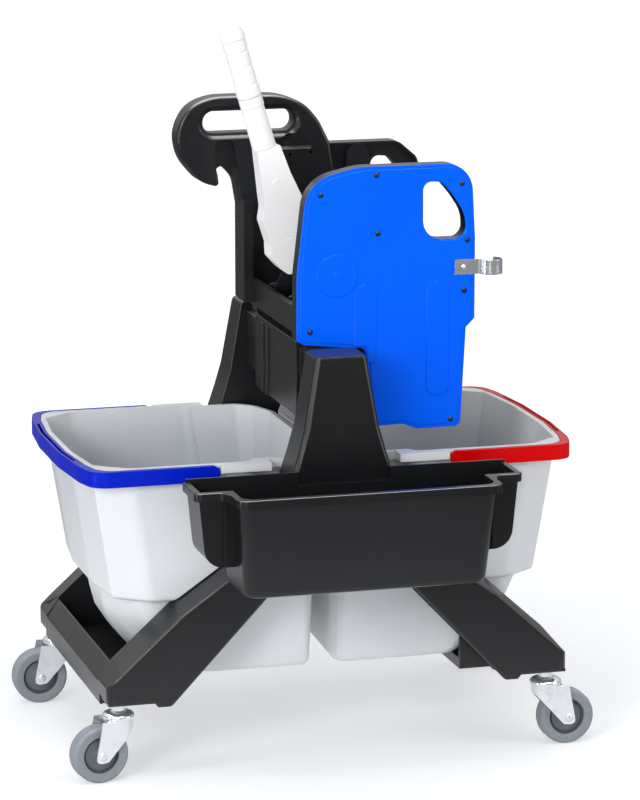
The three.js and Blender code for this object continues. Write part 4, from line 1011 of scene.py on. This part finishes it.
def caster_pieces():
    """One caster drawn round its stem, pointing back along -X: name, piece, finish and slot."""
    origin = place(0, 0, 0)
    axle = place(-TRAIL, 0, RADIUS)
    stem = turned([(0, 77), (9, 77), (9, HEAD), (6, HEAD), (6, 136), (0, 136)], origin, (0, 0, 1), 32)
    stem = soften(stem, 0.4, 2)

    bearing = turned([
        (0, CROWN), (20, CROWN), (21, 84.6), (21.5, 86), (21.5, 87.8), (21.1, 89.3), (20, 90.8), (18.2, 92),
        (15.5, 92.9), (12.4, 93.4), (11, 93.6), (10.4, 94.6), (9.5, 95), (9.5, 106.7), (0, 106.7),
    ], origin, (0, 0, 1), 72)
    rear = -TRAIL - 9
    skirt = cut(prism("level", fork_plan(rear, 0), 26, CROWN + 0.3),
                prism("level", fork_plan(rear - 5, 2.5), 21, HEAD + 0.3),
                block(rear - 5, -18, -16.5, 16.5, HEAD, CROWN + 5))
    profile = prism("front", rounded([
        (rear, 31, 7), (-31, 29, 7), (-21, 30, 6), (21.5, 77, 4), (21.5, 85), (-28, 85), (rear, 38, 6)], 8), -20, 20)
    fork = cut(join(common(skirt, profile), bearing), prism("level", circle(0, 0, STEM_BORE), 75, 112),
               prism("front", [(-TRAIL + p.x, RADIUS + p.y) for p in circle(0, 0, PIN_BORE)], -25, 25))
    fork = soften(fork, 0.8, 3, 30)

    pin = turned([(0, -21.3), (3.2, -21.2), (4.6, -20.7), (5.4, -19.9), (5.6, -19.3), (4, -19.3), (4, 19.3),
                  (5.6, 19.3), (5.4, 19.9), (4.6, 20.7), (3.2, 21.2), (0, 21.3)], axle, (0, 1, 0), 32)
    pin = soften(pin, 0.15, 1)

    dish = [(PIN_BORE, 12), (8.2, 12), (9.2, 11.2), (10, 9.4), (12, 8.6), (16, 8.0), (20.2, 7.4), (21.4, 6.4),
            (21.8, 4.6), (23.0, 4.2), (23.7, 5.0), (23.9, 10)]
    hub = turned([(r, -y) for r, y in dish] + dish[::-1], axle, (0, 1, 0), 72)
    hub = soften(hub, 0.5, 2)

    side = [(38, 6), (37.9, 8.4), (37.5, 10.2), (36.7, 11.6), (35.6, 12.5), (34.4, 12.95), (33, 13), (26.4, 12.3),
            (25.2, 12.1), (24.4, 11.3), (24.2, 10)]
    tread = [(r, -y) for r, y in side[::-1]] + side
    tyre = soften(turned(tread, axle, (0, 1, 0), 96), 0.3, 2)
    return [("stem", stem, "caster_stem", BRIGHT, "bright_steel"), ("fork", fork, "caster_fork", ZINC, "steel"),
            ("axle", pin, "caster_axle", BRIGHT, "bright_steel"), ("hub", hub, "wheel_hub", HUB, "hub"),
            ("tyre", tyre, "wheel_tyre", TYRE, "tyre")]


def build_casters():
    """Each corner: the side it is on along x and y, and how far its fork has swivelled."""
    patterns = caster_pieces()
    corners = {"front_left": (-1, -1, 8), "rear_left": (-1, 1, 0), "front_right": (1, -1, 180),
               "rear_right": (1, 1, 190)}
    bodies = {"stem": "chassis", "fork": "swivel_", "axle": "swivel_", "hub": "wheel_", "tyre": "wheel_"}
    centre = Matrix.Translation(place(0, 0, 0))
    for corner, (side_x, side_y, turn) in corners.items():
        matrix = (Matrix.Translation(place(side_x * CASTER_X, side_y * CASTER_Y, 0))
                  @ Matrix.Rotation(math.radians(turn), 4, "Z") @ centre.inverted())
        for name, pattern, node, material, slot in patterns:
            copy = duplicate(pattern, matrix)
            body = bodies[name] + (corner if name != "stem" else "")
            present(copy, f"{name}_{corner}", body, material, slot, f"{node}_{corner}")
    for _, pattern, *_ in patterns:
        bpy.data.objects.remove(pattern)


# -------- stage

# The floor's glow is weaker near the trolley than far off: painted shade round the trolley.
NEAR_GLOW = 0.41
FAR_GLOW = 0.60
DIM_STUDIO = 0.14
SKY_LIGHT = 0.52
SKY_CARD = 0.75
BACK_CARD = 0.45
CEILING = 13.0


def build_floor():
    """A pale floor. It glows only where it is seen, and less near the trolley, which paints shade round it; far off it
    is dim in reflections, as a studio's walls are.
    """
    deselect()
    bpy.ops.mesh.primitive_plane_add(size=24, location=(0, 6, 0))
    floor = bpy.context.object
    floor.name = "studio_floor"
    graph = Graph(bpy.data.materials.new("pale_floor"))
    haze = graph.noise(3, 2)
    graph.finish(base_color=graph.blend(haze, colour(225, 228, 232), colour(229, 231, 235)), roughness=0.9,
                 specular_ior_level=0.1)
    camera_ray, glossy_ray, through_ray = graph.rays()
    distance = graph.node("ShaderNodeVectorMath", out="Value", operation="LENGTH", inputs={
        0: graph.node("ShaderNodeNewGeometry", out="Position")})
    far = distance.above(0.5, 1.2)
    # Painted shade: the glow rises from NEAR_GLOW by the trolley to FAR_GLOW far off.
    level = distance.above(0.5, 1.7) * (FAR_GLOW - NEAR_GLOW) + NEAR_GLOW
    glow = graph.node("ShaderNodeEmission", inputs={
        "Strength": camera_ray.larger(glossy_ray).larger(through_ray) * level})
    lit = graph.node("ShaderNodeAddShader", inputs={0: Value(graph, graph.shader.outputs[0]), 1: glow})
    dim = graph.node("ShaderNodeEmission", inputs={"Strength": DIM_STUDIO})
    surface = graph.node("ShaderNodeMixShader", inputs={0: glossy_ray * far, 1: lit, 2: dim})
    graph.feed(graph.nodes["Material Output"].inputs["Surface"], surface)
    floor.data.materials.append(graph.owner)


def build_world():
    """An even sky gives the light. White all round, a bright ceiling, a pale back and a dim studio are only seen."""
    world = bpy.data.worlds.new("studio")
    bpy.context.scene.world = world
    sky = Graph(world)
    soft = sky.nodes["Background"]
    soft.inputs["Color"].default_value = (0.98, 0.99, 1.0, 1)
    soft.inputs["Strength"].default_value = SKY_LIGHT
    direction = sky.node("ShaderNodeTexCoord", out="Generated")
    height, depth = sky.along(direction, "Z"), sky.along(direction, "Y")
    white = height.above(0.0, 0.4).larger(depth.above(0.2, 0.7) * BACK_CARD)
    zenith = height.above(0.72, 0.95)
    camera_ray, glossy_ray, through_ray = sky.rays()
    strength = (white * SKY_CARD + zenith * CEILING + DIM_STUDIO).larger(camera_ray).larger(through_ray)
    seen = sky.node("ShaderNodeBackground", inputs={"Color": (1, 1, 1, 1), "Strength": strength})
    surface = sky.node("ShaderNodeMixShader", inputs={
        0: camera_ray.larger(glossy_ray).larger(through_ray), 1: Value(sky, soft.outputs[0]), 2: seen})
    sky.feed(sky.nodes["World Output"].inputs["Surface"], surface)


def lamp(name, where, wide, high, power, aim=(0, 0, 0.45)):
    light = bpy.data.lights.new(name, "AREA")
    light.shape = "RECTANGLE"
    light.size, light.size_y, light.energy = wide, high, power
    holder = new_object(name, light)
    holder.location = where
    holder.rotation_euler = (Vector(aim) - Vector(where)).to_track_quat("-Z", "Y").to_euler()


def build_stage():
    build_floor()
    build_world()
    lamp("key", (-2.9, -3.4, 2.0), 1.4, 1.2, 80)
    lamp("side", (3.4, -2.2, 1.2), 1.8, 1.6, 36)
    lamp("front", (-1.6, -4.6, 0.7), 1.2, 1.0, 26)
    lamp("strip", (-2.5, -0.7, 0.5), 0.2, 1.1, 12, (0, 0, 0.5))
    lamp("overhead", (-0.5, -1.2, 2.9), 1.6, 0.2, 10)

    camera = bpy.data.cameras.new("camera")
    camera.sensor_fit = "VERTICAL"
    camera.sensor_height = 36
    camera.lens = 172.665
    holder = new_object("camera", camera)
    holder.location = (-1.3516, -4.8715, 1.5396)
    holder.rotation_euler = (math.radians(78), 0, math.radians(-15.7))
    bpy.context.scene.camera = holder
    bpy.context.scene.view_settings.view_transform = "Standard"


build_stage()
build_chassis()
build_tray()
build_buckets()
build_front_side()
build_rear_side()
build_clip()
build_press()
build_lever()
build_casters()
